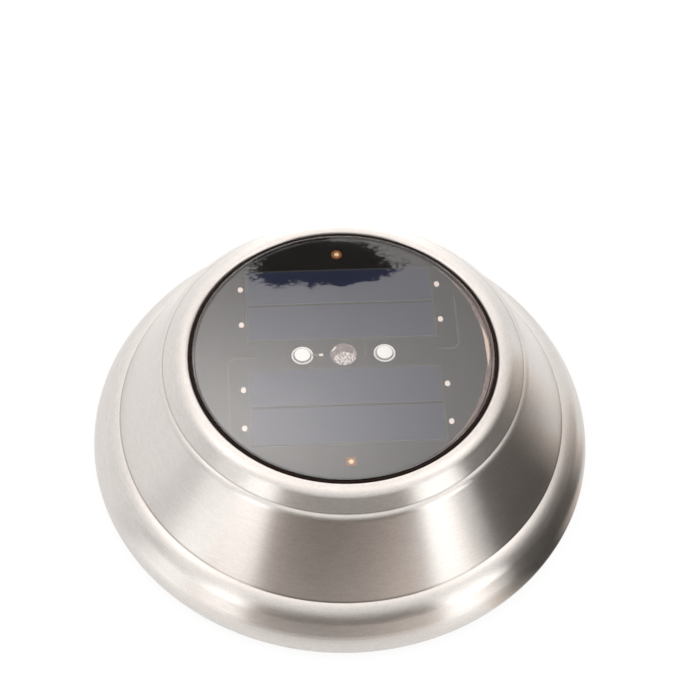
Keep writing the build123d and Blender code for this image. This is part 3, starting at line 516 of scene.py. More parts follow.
@dataclass(frozen=True)
class MilkyLamp(Glossy):
    """Milky resin of the two lamps, dark round the shoulder that the ring shades.

    Its places are in millimetres.
    """

    middle: float = 11.6
    shoulder: float = 2.2
    shade: float = 0.82
    dark: Colour = (0.12, 0.11, 0.1)

    def surface(self, graph: Graph) -> Socket:
        """The resin, with painted shade darkening its shoulder."""
        x, y, _ = graph.parts(graph.place())
        across = abs(x) / MM - self.middle
        along = y / MM
        dark = graph.principled(Base_Color=self.dark, Roughness=0.6)
        edge = graph.band(length(across, along), self.shoulder - 0.08, self.shoulder + 0.08)
        return graph.blend(edge * self.shade, super().surface(graph), dark)


@dataclass(frozen=True)
class SealantAndReflection(Finish):
    """Pinkish sealant that paints the lens wall's reflection, with a painted highlight along it,
    in millimetres and radians.
    """

    thin: Colour = (0.11, 0.06, 0.05)
    thick: Colour = (0.24, 0.145, 0.12)
    pale: Colour = (0.8, 0.56, 0.46)
    highlight_radius: float = 40.85
    highlight_width: float = 0.5
    highlight_middle: float = 0.035
    highlight_reach: float = 0.18

    def surface(self, graph: Graph) -> Socket:
        """Uneven smears, with the painted highlight tapered toward its ends."""
        place = graph.place()
        x, y, _ = graph.parts(place)
        radius = length(x, y) / MM
        along = (graph.math("ARCTAN2", y, x) - self.highlight_middle) / self.highlight_reach
        smear = graph.noise(place, 700.0, 4.0, 0.6)
        width = (1 - along * along) * self.highlight_width
        # Painted highlight: a pale line along the sealant, widest at its middle.
        run = graph.band(abs(radius - self.highlight_radius) - width, 0.08, -0.08)
        body = graph.mix(graph.band(smear, 0.35, 0.65), self.thin, self.thick)
        return graph.principled(
            Base_Color=graph.mix(run, body, self.pale),
            Roughness=0.25 + smear * 0.2,
            Normal=graph.bump(smear, 0.5, 0.1),
        )


@dataclass(frozen=True)
class Moulded(Finish):
    """Moulded plastic with a fine spark-eroded grain."""

    colour: Colour = (0.035, 0.035, 0.037)
    rough: float = 0.5
    grain: float = 2200.0

    def surface(self, graph: Graph) -> Socket:
        """Pebbled grain, with flow marks and a little scuffing."""
        place = graph.place()
        flow = graph.noise(place, 35.0, 4.0)
        pebble = graph.cells(place, self.grain)
        scuff = graph.noise(place, 420.0, 5.0, 0.7)
        tone = (flow * 0.6 + scuff * 0.4).clamped()
        return graph.principled(
            Base_Color=graph.shade(self.colour, tone, 0.35),
            Roughness=self.rough + (scuff - 0.5) * 0.25,
            Normal=graph.bump(pebble, 0.45, 0.05),
        )


@dataclass(frozen=True)
class SealantAndReflectionMoulding(Moulded):
    """Moulded plastic with a smear of brown sealant under the lens's rim that paints the lens
    wall's reflection, in millimetres.
    """

    inner: float = 41.75
    low: float = 39.0
    # Both colours paint the lens wall's reflection under its rim; thick is the lighter, pinker
    # one.
    thin: Colour = (0.1, 0.08, 0.078)
    thick: Colour = (0.4, 0.25, 0.2)
    reflection_way: Point = (0.98, -0.17)
    reflection_from: Point = (24.0, 37.0)

    def surface(self, graph: Graph) -> Socket:
        """The moulding, with the sealant painted lighter and pinker toward one side as the lens
        wall's reflection.
        """
        place = graph.place()
        x, y, z = graph.parts(place)
        radius = length(x, y) / MM
        reach = (x * self.reflection_way[0] + y * self.reflection_way[1]) / MM
        smear = graph.noise(place, 260.0, 4.0, 0.6)
        # Painted reflection: the sealant's colour turns lighter and pinker toward the right.
        reflection_side = graph.band(reach + (smear - 0.5) * 6.0, *self.reflection_from)
        sealant = graph.principled(
            Base_Color=graph.mix(reflection_side, self.thin, self.thick),
            Roughness=0.25 + smear * 0.2,
            Normal=graph.bump(smear, 0.6, 0.2),
        )
        under = graph.band(radius, self.inner - 0.1, self.inner)
        under = under * graph.band(z / MM, self.low - 0.1, self.low)
        return graph.blend(under, super().surface(graph), sealant)


@dataclass(frozen=True)
class Metal(Finish):
    """Plated, drawn or soldered metal."""

    colour: Colour = (0.7, 0.7, 0.68)
    rough: float = 0.3
    mottle: float = 0.15
    scale: float = 500.0
    dent: float = 0.25
    metallic: float = 1.0

    def surface(self, graph: Graph) -> Socket:
        """Cloudy plating with small handling marks."""
        place = graph.place()
        cloud = graph.noise(place, self.scale)
        marks = graph.noise(place, self.scale * 5, 4.0, 0.65)
        return graph.principled(
            Base_Color=graph.shade(self.colour, cloud, self.mottle),
            Metallic=self.metallic,
            Roughness=self.rough + (marks - 0.5) * 0.2,
            Normal=graph.bump(marks, self.dent, 0.03),
        )


@dataclass(frozen=True)
class Foam(Finish):
    """Closed-cell foam."""

    colour: Colour = (0.05, 0.05, 0.052)

    def surface(self, graph: Graph) -> Socket:
        """Open pores in a matt skin, with painted shade darkening each pore."""
        pores = graph.cells(graph.place(), 1400.0)
        return graph.principled(
            # Painted shade: the colour darkens toward the middle of each pore.
            Base_Color=graph.shade(self.colour, pores, 0.5),
            Roughness=0.9,
            Normal=graph.bump(pores, 0.8, 0.15),
        )


@dataclass(frozen=True)
class Winding(Finish):
    """Enamelled wire wound round an upright core."""

    colour: Colour = (0.5, 0.2, 0.07)
    pitch: float = 0.35

    def surface(self, graph: Graph) -> Socket:
        """Rounded turns, one above another, with painted shade in the grooves between them."""
        _, _, z = graph.parts(graph.place())
        turns = graph.math("SINE", z * (TURN / (self.pitch * MM)))
        lift = turns * 0.5 + 0.5
        return graph.principled(
            # Painted shade: the colour darkens toward the grooves between turns.
            Base_Color=graph.shade(self.colour, lift, 0.45),
            Metallic=0.8,
            Roughness=0.28 + (1 - lift) * 0.2,
            Normal=graph.bump(lift, 0.9, 0.12),
        )


STEEL = SpunSteel("brushed_steel")
GASKET = Rubber("gasket_rubber")
SEAL = Rubber("seal_rubber", (0.04, 0.04, 0.04), 0.6)
LENS = ClearPlastic("lens_clear")
PIPE = CrinkledResin("pipe_crinkled")
MASK = Glossy("black_solder_mask", (0.0135, 0.0125, 0.0118), 0.3, 0.2, 120.0, 1.0, 0.0, 0.0)
TRACK = Glossy("track_under_mask", (0.06, 0.06, 0.048), 0.3, 0.3, 300.0, 1.0, 0.0, 0.0)
BAR = Glossy("faint_print", (0.2, 0.15, 0.14), 0.5, 0.2, 900.0, 1.0, 0.0, 0.0)
SMEAR = Glossy("flux_smear", (0.17, 0.13, 0.055), 0.4, 0.8, 1500.0, 1.0, 0.0, 0.0)
PRINT = Glossy("board_print", (0.95, 0.88, 0.76), 0.5, 0.1, 900.0)
SILICON = Glossy(
    "silicon", (0.019, 0.021, 0.031), 0.22, 0.3, 60.0, 0.86, 0.0, 0.22, tint=(0.0, 0.12, 1.0)
)
RESIN_EDGE = Glossy("resin_edge", (0.13, 0.13, 0.11), 0.25, 0.5, 400.0)
JOINT = Metal("soldered_joint", (0.95, 0.78, 0.71), 0.4, 0.12, 900.0, 0.5, 0.2)
FILL = Metal("terminal_filling", (1.0, 0.76, 0.45), 0.4, 0.08, 900.0, 0.3, 0.2)
COPPER = Metal("copper_pad", (0.26, 0.08, 0.014), 0.45, 0.25, 900.0, 0.25, 0.35)
LAMP = MilkyLamp("milky_resin", (0.95, 0.93, 0.91), 0.25, 0.03, 700.0, 0.4, 0.05)
BEZEL = Glossy("white_ring", (0.95, 0.93, 0.91), 0.35, 0.05, 700.0)
SENSOR_RESIN = Glossy("dark_resin", (0.05, 0.035, 0.03), 0.15, 0.2, 900.0)
CONTROL = Glossy("green_solder_mask", (0.02, 0.13, 0.05), 0.3, 0.25, 120.0, 0.3)
CHIP = Moulded("chip_resin", (0.025, 0.025, 0.025), 0.55, 5000.0)
FERRITE = Moulded("ferrite", (0.06, 0.06, 0.065), 0.6, 3500.0)
COIL = Winding("coil_wire")
SLEEVE = Glossy("capacitor_sleeve", (0.02, 0.03, 0.09), 0.25, 0.15, 400.0)
ZINC = Metal("zinc_plate", (0.62, 0.62, 0.6), 0.32, 0.2)
BLACK = Moulded("black_moulding")
HOUSING = SealantAndReflectionMoulding("sealant_and_reflection_moulding")
SEALANT_AND_REFLECTION = SealantAndReflection("sealant")
FOAM = Foam("foam")
CAN = Glossy("battery_sleeve", (0.03, 0.19, 0.1), 0.22, 0.12, 200.0, 0.5, 0.08)
NICKEL = Metal("nickel_plate", (0.7, 0.67, 0.6), 0.22, 0.12)
KNOB = Moulded("switch_plastic", (0.05, 0.05, 0.05), 0.35, 3000.0)
RED_WIRE = Glossy("red_insulation", (0.5, 0.02, 0.015), 0.35, 0.1, 600.0)
BLACK_WIRE = Glossy("black_insulation", (0.02, 0.02, 0.02), 0.35, 0.2, 600.0)
WHITE_WIRE = Glossy("white_insulation", (0.7, 0.7, 0.67), 0.35, 0.06, 600.0)


@dataclass(frozen=True)
class Corner:
    """A corner of a turned outline, in millimetres."""

    radius: float
    height: float
    rounding: float = 0.0


def hold_flats(bm: bmesh.types.BMesh, margin: float = 0.25 * MM) -> None:
    """Adds a point near each end of a long straight run, so that it is shaded flat."""
    for edge in bm.edges[:]:
        length = edge.calc_length()
        if length < 4 * margin:
            continue
        cut, _ = bmesh.utils.edge_split(edge, edge.verts[0], margin / length)
        rest = max(edge, cut, key=lambda part: part.calc_length())
        bmesh.utils.edge_split(rest, rest.verts[0], 1 - margin / rest.calc_length())


def soften(
    bm: bmesh.types.BMesh, geom: list, offset: float, segments: int, affect: str = "EDGES"
) -> None:
    """Rounds edges, or an outline's corners.

    Args:
        bm: Their mesh.
        geom: The edges or corners.
        offset: How far from each the rounding starts, in metres.
        segments: Its divisions.
        affect: EDGES or VERTICES.
    """
    bmesh.ops.bevel(
        bm,
        geom=geom,
        offset=offset,
        offset_type="OFFSET",
        affect=affect,
        segments=segments,
        profile=0.5,
        material=-1,
    )


def sweep(bm: bmesh.types.BMesh, geom: list, angle: float, steps: int) -> None:
    """Sweeps lines round the upright axis, and joins the ends of a full turn.

    Args:
        bm: Their mesh.
        geom: The lines and their points.
        angle: How far to turn them.
        steps: Divisions on the way.
    """
    bmesh.ops.spin(
        bm,
        geom=geom,
        cent=(0, 0, 0),
        axis=(0, 0, 1),
        dvec=(0, 0, 0),
        angle=angle,
        steps=steps,
        use_merge=angle == TURN,
        use_duplicate=False,
    )


def arc(first: Point, second: Point, start: float, end: float, steps: int) -> bmesh.types.BMesh:
    """Sweeps the line between two points from one azimuth to another.

    Args:
        first: One point's radius and height, in metres.
        second: The other's.
        start: The first azimuth, in degrees.
        end: The last.
        steps: Divisions between them.

    Returns:
        The surface.
    """
    bm = bmesh.new()
    verts = [bm.verts.new((radius, 0.0, height)) for radius, height in (first, second)]
    edge = bm.edges.new(verts)
    bmesh.ops.rotate(bm, matrix=Matrix.Rotation(math.radians(start), 3, "Z"), verts=verts)
    sweep(bm, [*verts, edge], math.radians(end - start), steps)
    return bm


def spin(corners: Sequence[Corner], closed: bool, steps: int = 96) -> bmesh.types.BMesh:
    """Spins an outline of a few rounded corners round the upright axis.

    Args:
        corners: The outline, in order.
        closed: Whether its last corner joins its first.
        steps: Divisions round the axis.

    Returns:
        The spun surface.
    """
    bm = bmesh.new()
    spots = [Vector((c.radius * MM, 0.0, c.height * MM)) for c in corners]
    verts = [bm.verts.new(spot) for spot in spots]
    pairs = list(zip(verts, verts[1:]))
    if closed:
        pairs.append((verts[-1], verts[0]))
    for pair in pairs:
        bm.edges.new(pair)
    for i, (corner, vert) in enumerate(zip(corners, verts)):
        if not corner.rounding:
            continue
        after = spots[(i + 1) % len(spots)]
        turn = (spots[i] - spots[i - 1]).angle(after - spots[i])
        offset = corner.rounding * MM * math.tan(turn / 2)
        soften(bm, [vert], offset, max(3, math.ceil(math.degrees(turn) / 7)), "VERTICES")
    hold_flats(bm)
    sweep(bm, bm.verts[:] + bm.edges[:], TURN, steps)
    bmesh.ops.remove_doubles(bm, verts=bm.verts[:], dist=1e-6)
    bmesh.ops.recalc_face_normals(bm, faces=bm.faces[:])
    return bm


def block(low: Vector, high: Vector) -> bmesh.types.BMesh:
    """A box between two corners, in metres."""
    bm = bmesh.new()
    bmesh.ops.create_cube(bm, size=1.0)
    bmesh.ops.scale(bm, vec=high - low, verts=bm.verts[:])
    bmesh.ops.translate(bm, vec=(low + high) / 2, verts=bm.verts[:])
    return bm


def thicken(bm: bmesh.types.BMesh, faces: Sequence[bmesh.types.BMFace], thick: float) -> None:
    """Raises a copy of flat faces by a height in millimetres, with walls up to it."""
    up = bmesh.ops.extrude_face_region(bm, geom=faces)["geom"]
    raised = [v for v in up if isinstance(v, bmesh.types.BMVert)]
    bmesh.ops.translate(bm, vec=(0, 0, thick * MM), verts=raised)


def ribbon(
    bm: bmesh.types.BMesh, route: Sequence[Point], width: float, low: float, thick: float
) -> None:
    """Lays a flat strip along a route, with mitred corners.

    Args:
        bm: The mesh to add it to.
        route: Its corners, in millimetres.
        width: Its width.
        low: Its underside's height.
        thick: Its thickness.
    """
    spots = [Vector((x * MM, y * MM)) for x, y in route]
    ways = [(b - a).normalized() for a, b in zip(spots, spots[1:])]
    grid = bmesh.ops.create_grid(bm, x_segments=len(ways), y_segments=1, size=1.0)["verts"]
    for spot, way_in, way_out, right, left in zip(
        spots, ways[:1] + ways, ways + ways[-1:], grid[: len(spots)], grid[len(spots) :]
    ):
        across = Vector((-way_in.y - way_out.y, way_in.x + way_out.x)).normalized()
        reach = width * MM / 2 / max(0.3, across.dot(Vector((-way_in.y, way_in.x))))
        right.co = (spot - across * reach).to_3d()
        left.co = (spot + across * reach).to_3d()
    bmesh.ops.translate(bm, vec=(0, 0, low * MM), verts=grid)
    thicken(bm, list(dict.fromkeys(f for v in grid for f in v.link_faces)), thick)


def piece(
    bm: bmesh.types.BMesh,
    name: str,
    finish: Finish,
    replaced: Sequence[str] = (),
    body: Body = Body.LIGHT,
    crisp: float = 40.0,
) -> bpy.types.Object:
    """Makes an object of a finished mesh and hangs it on its body.

    Args:
        bm: The mesh, which is freed.
        name: The piece's name.
        finish: What it wears.
        replaced: The CAD nodes that it stands for.
        body: The body that it rides on.
        crisp: Edges that turn more degrees than this stay sharp.

    Returns:
        The object.
    """
    mesh = bpy.data.meshes.new(name)
    for face in bm.faces:
        face.smooth = True
    bm.to_mesh(mesh)
    bm.free()
    mesh.set_sharp_from_angle(angle=math.radians(crisp))
    mesh.materials.append(finish.material())
    made = bpy.data.objects.new(name, mesh)
    bpy.context.scene.collection.objects.link(made)
    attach(made, body.value)
    if replaced:
        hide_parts(*replaced)
    log.info("%s: %d faces", name, len(mesh.polygons))
    return made


def dress(finish: Finish, *nodes: str) -> None:
    """Gives CAD nodes a finish in place of their plain ones."""
    for node in nodes:
        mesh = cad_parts[node].data
        for index in range(len(mesh.materials)):
            mesh.materials[index] = finish.material()
        log.info("%s: %s", node, finish.name)


@dataclass
class SteelCover:
    """The spun shell, with its lip, collar, shoulder, slope, ledge and bead."""

    sheet: float = 0.8
    lip_radius: float = 43.6
    lip_edge: float = 1.3
    lip_round: float = 1.0
    steps: int = 288
    steps_down: tuple[Triple, ...] = (
        (3.2, 0.0, 4.0),
        (4.3, 4.2, 0.35),
        (1.3, 0.6, 2.6),
        (12.3, 23.2, 0.35),
        (3.45, 0.73, 7.2),
        (4.95, 8.57, 11.0),
    )
    curl_round: float = 2.6
    rim_run: float = 5.6

    def outline(self) -> list[Corner]:
        """The outer face's corners, from the lip's edge to the rim."""
        radius = self.lip_radius
        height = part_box("steel_shell")[1].z / MM
        corners = [
            Corner(radius, height - self.lip_edge),
            Corner(radius, height, self.lip_round),
        ]
        for run, drop, rounding in self.steps_down:
            radius += run
            height -= drop
            corners.append(Corner(radius, height, rounding))
        corners.append(Corner(radius, 0.0, self.curl_round))
        corners.append(Corner(radius - self.rim_run, 0.0))
        return corners

    def build(self) -> None:
        """Spins the outer face and gives it the sheet's thickness."""
        bm = spin(self.outline(), False, self.steps)
        outward = sum(f.normal.dot(f.calc_center_median()) for f in bm.faces)
        if outward < 0:
            bmesh.ops.reverse_faces(bm, faces=bm.faces[:])
        bmesh.ops.solidify(bm, geom=bm.faces[:], thickness=self.sheet * MM)
        bmesh.ops.recalc_face_normals(bm, faces=bm.faces[:])
        piece(bm, "spun_shell", STEEL, ["steel_shell"])


@dataclass
class LensAndGasket:
    """The clear cover over the panel and the rubber ring round it."""

    opening_radius: float = 43.6
    fit: float = 0.05
    rubber_wall: float = 0.85
    rubber_leg: float = 1.0
    rubber_round: float = 0.3
    lens_wall: float = 0.75
    pane_thick: float = 1.3
    flange_thick: float = 1.2
    rest_gap: float = 0.02
    edge_round: float = 0.35
    small_round: float = 0.15
    steps: int = 240

    def build(self) -> None:
        """Makes the lens and its gasket."""
        outer = self.opening_radius - self.fit
        inner = outer - self.rubber_wall
        self.gasket(inner, outer)
        self.lens(inner - self.fit)

    def lens(self, radius: float) -> None:
        """Spins the clear cover: a pane with a short wall and a clamped flange."""
        low, high = (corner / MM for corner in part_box("clear_lens"))
        low.z += self.rest_gap
        shelf = low.z + self.flange_thick
        under = high.z - self.pane_thick
        pocket = radius - self.lens_wall
        lens = spin(
            [
                Corner(0, high.z),
                Corner(radius, high.z, self.edge_round),
                Corner(radius, shelf, self.small_round),
                Corner(high.x, shelf, self.small_round),
                Corner(high.x, low.z, self.small_round),
                Corner(pocket, low.z, self.small_round),
                Corner(pocket, under, self.small_round),
                Corner(0, under),
            ],
            False,
            self.steps,
        )
        piece(lens, "lens", LENS, ["clear_lens"])

    def gasket(self, inner: float, outer: float) -> None:
        """Spins the rubber ring, with its leg clamped under the lip."""
        low, high = (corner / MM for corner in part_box("lens_gasket"))
        shelf = low.z + self.rubber_leg
        gasket = spin(
            [
                Corner(inner, low.z),
                Corner(inner, high.z, self.rubber_round),
                Corner(outer, high.z, self.rubber_round),
                Corner(outer, shelf),
                Corner(high.x, shelf),
                Corner(high.x, low.z),
            ],
            True,
            self.steps,
        )
        piece(gasket, "gasket", GASKET, ["lens_gasket"])


@dataclass
class SolarPanel:
    """The black board with its cells, tracks, solder joints and terminals.

    Sizes are in millimetres, and top is the board's upper face, read as it is built.
    """

    top: float = 0.0
    track_width: float = 0.22
    highlight_width: float = 0.45
    track_thick: float = 0.04
    print_thick: float = 0.05
    frame_gap: float = 0.36
    cell_round: float = 0.11
    flat_margin: float = 0.15
    joint_offset: float = 1.9
    joint_size: Triple = (0.78, 1.0, 0.22)
    bore: float = 0.76
    solder_rise: float = 0.3
    solder_wobble: float = 0.12
    sealant_inset: float = 0.03
    sealant_span: Point = (-56.0, 48.0)
    sealant_width: float = 1.25
    sealant_edge: float = 0.1
    sealant_thick: float = 0.1
    sealant_ragged: float = 0.4
    route_right: tuple[Point, ...] = ((33.0, 20.6), (33.0, 2.15), (31.6, 0.9), (27.0, 0.9))
    route_left: tuple[Point, ...] = ((-32.5, -24.9), (-32.5, -1.9), (-31.2, -0.6), (-24.0, -0.6))

    def build(self) -> None:
        """Dresses the board, then lays the cells, tracks, print and solder."""
        dress(MASK, "solar_board")
        dress(COPPER, "terminal_eyelets")
        boxes = []
        for i in range(1, 5):
            boxes.append([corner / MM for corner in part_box(f"solar_cell_{i}")])
            self.cell(i, *boxes[-1])
        self.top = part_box("solar_board")[1].z / MM
        self.tracks(boxes)
        self.print_marks()
        self.joints(boxes)
        self.terminals()
        self.sealant()

    def cell(self, number: int, low: Vector, high: Vector) -> None:
        """One strip cell, with the pale bead of resin round its edge."""
        bm = block(low * MM, high * MM)
        rim = [e for e in bm.edges if min(v.co.z for v in e.verts) > (high.z - 0.01) * MM]
        soften(bm, rim, self.cell_round * MM, 3)
        for face in bm.faces:
            face.material_index = int(abs(face.normal.z) < 0.99)
        top = max(bm.faces, key=lambda face: face.calc_center_median().z)
        bmesh.ops.inset_region(bm, faces=[top], thickness=self.flat_margin * MM)
        made = piece(bm, f"strip_cell_{number}", SILICON, [f"solar_cell_{number}"])
        made.data.materials.append(RESIN_EDGE.material())

    def tracks(self, boxes: Sequence[Sequence[Vector]]) -> None:
        """Tracks under the solder mask: a frame round each cell and two long runs."""
        bm = bmesh.new()
        for low, high in boxes:
            x0, x1 = low.x - self.frame_gap, high.x + self.frame_gap
            lines = [((x0, y), (x1, y)) for y in (low.y - self.frame_gap, high.y + self.frame_gap)]
            lines += [((x, low.y), (x, high.y)) for x in (x0, x1)]
            for line in lines:
                ribbon(bm, line, self.track_width, self.top, self.track_thick)
        for route in (self.route_right, self.route_left):
            ribbon(bm, route, self.highlight_width, self.top, self.track_thick)
        bmesh.ops.recalc_face_normals(bm, faces=bm.faces[:])
        piece(bm, "board_tracks", TRACK)

    def print_marks(self) -> None:
        """The printed dash and bar beside the light pipe, and a smear of flux."""
        marks = (
            ("board_print_dash", PRINT, ((-6.85, -0.12), (-5.75, 0.02)), 0.78),
            ("board_print_bar", BAR, ((6.2, -0.9), (6.2, 0.9)), 0.2),
            ("flux_smear", SMEAR, ((-8.8, 0.0), (-6.9, -0.05)), 0.6),
        )
        for name, finish, route, width in marks:
            bm = bmesh.new()
            ribbon(bm, route, width, self.top, self.print_thick)
            bmesh.ops.recalc_face_normals(bm, faces=bm.faces[:])
            piece(bm, name, finish)

    def joints(self, boxes: Sequence[Sequence[Vector]]) -> None:
        """A small mound of solder past each end of each cell."""
        bm = bmesh.new()
        for low, high in boxes:
            for side in (-1, 1):
                place = (side * (high.x + self.joint_offset), (low.y + high.y) / 2, self.top)
                self.mound(bm, place, self.joint_size)
        piece(bm, "solder_joints", JOINT, ["cell_joints"])

    def terminals(self) -> None:
        """Solder that fills the two terminals and domes over them."""
        bm = bmesh.new()
        low, high = (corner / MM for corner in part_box("terminal_solder"))
        reach = high.y - self.bore
        depth = self.top - low.z
        radius = self.bore * MM
        for y in (-reach, reach):
            self.mound(bm, (0.0, y, self.top), (self.bore, self.bore, self.solder_rise))
            shank = bmesh.ops.create_cone(
                bm, cap_ends=True, segments=24, radius1=radius, radius2=radius, depth=depth * MM
            )["verts"]
            bmesh.ops.translate(bm, vec=(0, y * MM, (self.top - depth / 2) * MM), verts=shank)
        bmesh.ops.recalc_face_normals(bm, faces=bm.faces[:])
        piece(bm, "terminal_solder_fill", FILL, ["terminal_solder"])

    def sealant(self) -> None:
        """A thin smear of sealant along the board's right edge, widest at its middle, whose colour
        paints the lens wall's reflection.
        """
        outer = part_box("solar_board")[1].x / MM - self.sealant_inset
        start, end = self.sealant_span
        edges = ((radius * MM, self.top * MM) for radius in (outer, outer - self.sealant_edge))
        bm = arc(*edges, start, end, 96)
        for vert in bm.verts:
            if vert.co.xy.length / MM < outer - self.sealant_edge / 2:
                azimuth = math.degrees(math.atan2(vert.co.y, vert.co.x))
                ragged = 1 + self.sealant_ragged * noise.noise(vert.co / MM * 0.7)
                swell = math.sin(math.pi * (azimuth - start) / (end - start))
                vert.co.xy *= 1 - self.sealant_width * swell * ragged / outer
        thicken(bm, bm.faces[:], self.sealant_thick)
        bmesh.ops.recalc_face_normals(bm, faces=bm.faces[:])
        piece(bm, "rim_sealant_and_reflection", SEALANT_AND_REFLECTION)

    def mound(self, bm: bmesh.types.BMesh, place: Triple, size: Triple) -> None:
        """Adds a rounded, slightly uneven drop of solder, flat underneath.

        Args:
            bm: The mesh to add it to.
            place: The middle of its base, in millimetres.
            size: Its half widths and its height.
        """
        drop = bmesh.ops.create_icosphere(bm, subdivisions=3, radius=1.0)["verts"]
        base = Vector(place)
        for vert in drop:
            wobble = 1 + self.solder_wobble * noise.noise(vert.co * 1.5 + base)
            x, y, z = vert.co
            spread = Vector((x * wobble, y * wobble, max(0.0, z)))
            vert.co = (base + spread * Vector(size)) * MM


@dataclass
class LampsAndPipe:
    """The two lamps with their rings, and the clear pipe between them, in millimetres."""

    pipe_radius: float = 3.8
    edge_sink: float = 0.3
    flange_top: float = 37.4
    flange: float = 1.0
    top_round: float = 2.0
    edge_round: float = 0.2
    small_round: float = 0.15
    skin: float = 0.45
    smooth_edge: float = 0.3
    crinkle: float = 0.2
    crinkle_scales: Point = (1.3, 2.9)
    steps: int = 72

    def build(self) -> None:
        """Dresses the lamps and makes the crinkled light pipe."""
        dress(LAMP, "led_left", "led_right")
        dress(BEZEL, "led_bezels")
        dress(SENSOR_RESIN, "light_sensor")
        low, high = (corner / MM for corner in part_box("light_pipe"))
        under = self.flange_top - self.flange
        bm = spin(
            [
                Corner(0, high.z),
                Corner(self.pipe_radius * 0.7, high.z - 0.1, self.top_round),
                Corner(self.pipe_radius, high.z - self.edge_sink, self.edge_round),
                Corner(self.pipe_radius, self.flange_top),
                Corner(high.x, self.flange_top, self.small_round),
                Corner(high.x, under, self.small_round),
                Corner(self.pipe_radius, under),
                Corner(self.pipe_radius, low.z, self.small_round),
                Corner(0, low.z),
            ],
            False,
            self.steps,
        )
        top = [f for f in bm.faces if f.calc_center_median().z > (high.z - 0.5) * MM]
        edges = list({e for f in top for e in f.edges})
        bmesh.ops.subdivide_edges(bm, edges=edges, cuts=2, use_grid_fill=True)
        for vert in bm.verts:
            spot = vert.co / MM
            inside = spot.xy.length < self.pipe_radius - self.smooth_edge
            if inside and spot.z > high.z - self.skin:
                broad, fine = (abs(noise.noise(spot * scale)) for scale in self.crinkle_scales)
                vert.co.z -= (broad + 0.6 * fine) * self.crinkle * MM
        bmesh.ops.triangulate(bm, faces=[f for f in bm.faces if len(f.verts) > 4])
        piece(bm, "crinkled_pipe", PIPE, ["light_pipe"], crisp=60.0)


@dataclass
class Underside:
    """The base, its stake socket and seals, the door and the switch."""

    pad_round: float = 0.5

    def build(self) -> None:
        """Dresses the moulded parts and makes the foam pad."""
        dress(BLACK, "base_plate", "battery_door")
        dress(HOUSING, "lamp_housing")
        dress(SEAL, "housing_seal", "door_seal")
        dress(ZINC, "housing_screws", "door_screws", "switch_screws", "control_board_screws")
        dress(KNOB, "switch_body", "switch_knob")
        self.pad()

    def pad(self) -> None:
        """The foam that keeps the battery quiet."""
        low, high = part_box("door_pad")
        bm = block(low, high)
        soften(bm, bm.edges[:], min(self.pad_round * MM, (high.z - low.z) * 0.3), 4)
        pad = piece(bm, "foam_pad", FOAM, ["door_pad"], Body.DOOR)


@dataclass
class Electrics:
    """The control board, its parts, the battery and the leads."""

    def build(self) -> None:
        """Dresses what the housing hides."""
        dress(CONTROL, "control_board")
        dress(CHIP, "driver_chip")
        dress(FERRITE, "inductor_core")
        dress(COIL, "inductor_coil")
        dress(SLEEVE, "capacitor")
        dress(CAN, "battery")
        dress(NICKEL, "positive_contact", "negative_contact")
        dress(RED_WIRE, "panel_lead_red", "battery_lead_red")
        dress(BLACK_WIRE, "panel_lead_black", "battery_lead_black")
        dress(WHITE_WIRE, "switch_lead_left", "switch_lead_right")


@dataclass(frozen=True)
class Card:
    """A curved panel round the light, from one edge to another, seen only in reflections.

    Its edges are points of radius and height in metres. Its levels are stops of azimuth, in
    degrees, and strength, from its start to its end. Outer is how much its second edge has of
    the first edge's strength.
    """

    name: str
    first: Point
    second: Point
    levels: tuple[Point, ...]
    colour: Colour = WHITE
    outer: float = 1.0
    lamp: bool = False
    steps: int = 24

    @property
    def span(self) -> Point:
        """The azimuths that it starts and ends at."""
        return self.levels[0][0], self.levels[-1][0]

    def build(self) -> None:
        """Bends the card round the light."""
        bm = arc(self.first, self.second, *self.span, self.steps)
        card = stage_piece(bm, self.name, self.glow())
        card.visible_transmission = False
        card.visible_diffuse = self.lamp
        card.visible_shadow = False

    def glow(self) -> bpy.types.Material:
        """Light that changes round the card and from its first edge to its second."""
        material, graph = new_material(self.name)
        x, y, z = graph.parts(graph.place())
        start, end = self.span
        middle = math.radians((start + end) / 2)
        ahead = x * math.cos(middle) + y * math.sin(middle)
        aside = y * math.cos(middle) - x * math.sin(middle)
        turned = graph.math("ARCTAN2", aside, ahead) / math.radians(end - start) + 0.5
        peak = max(strength for _, strength in self.levels)
        stops = [
            ((azimuth - start) / (end - start), (strength / peak,) * 3)
            for azimuth, strength in self.levels
        ]
        ramp = graph.add("ShaderNodeValToRGB", {"stops": stops}, {0: turned})
        flat = self.second[0] != self.first[0]
        axis = 0 if flat else 1
        reach = length(x, y) if flat else z
        out = (reach - self.first[axis]) / (self.second[axis] - self.first[axis])
        level = (out.clamped() * (self.outer - 1) + 1) * peak
        graph.finish(graph.glow(graph.mix(1.0, ramp, self.colour, "MULTIPLY"), level))
        return material


def stage_piece(
    bm: bmesh.types.BMesh, name: str, material: bpy.types.Material, seen: bool = False
) -> bpy.types.Object:
    """Makes a part of the stage.

    Args:
        bm: Its mesh, which is freed.
        name: Its name.
        material: What it wears.
        seen: Whether the camera sees it.

    Returns:
        The object.
    """
    mesh = bpy.data.meshes.new(name)
    bm.to_mesh(mesh)
    bm.free()
    mesh.materials.append(material)
    made = bpy.data.objects.new(name, mesh)
    bpy.context.scene.collection.objects.link(made)
    made.visible_camera = seen
    return made


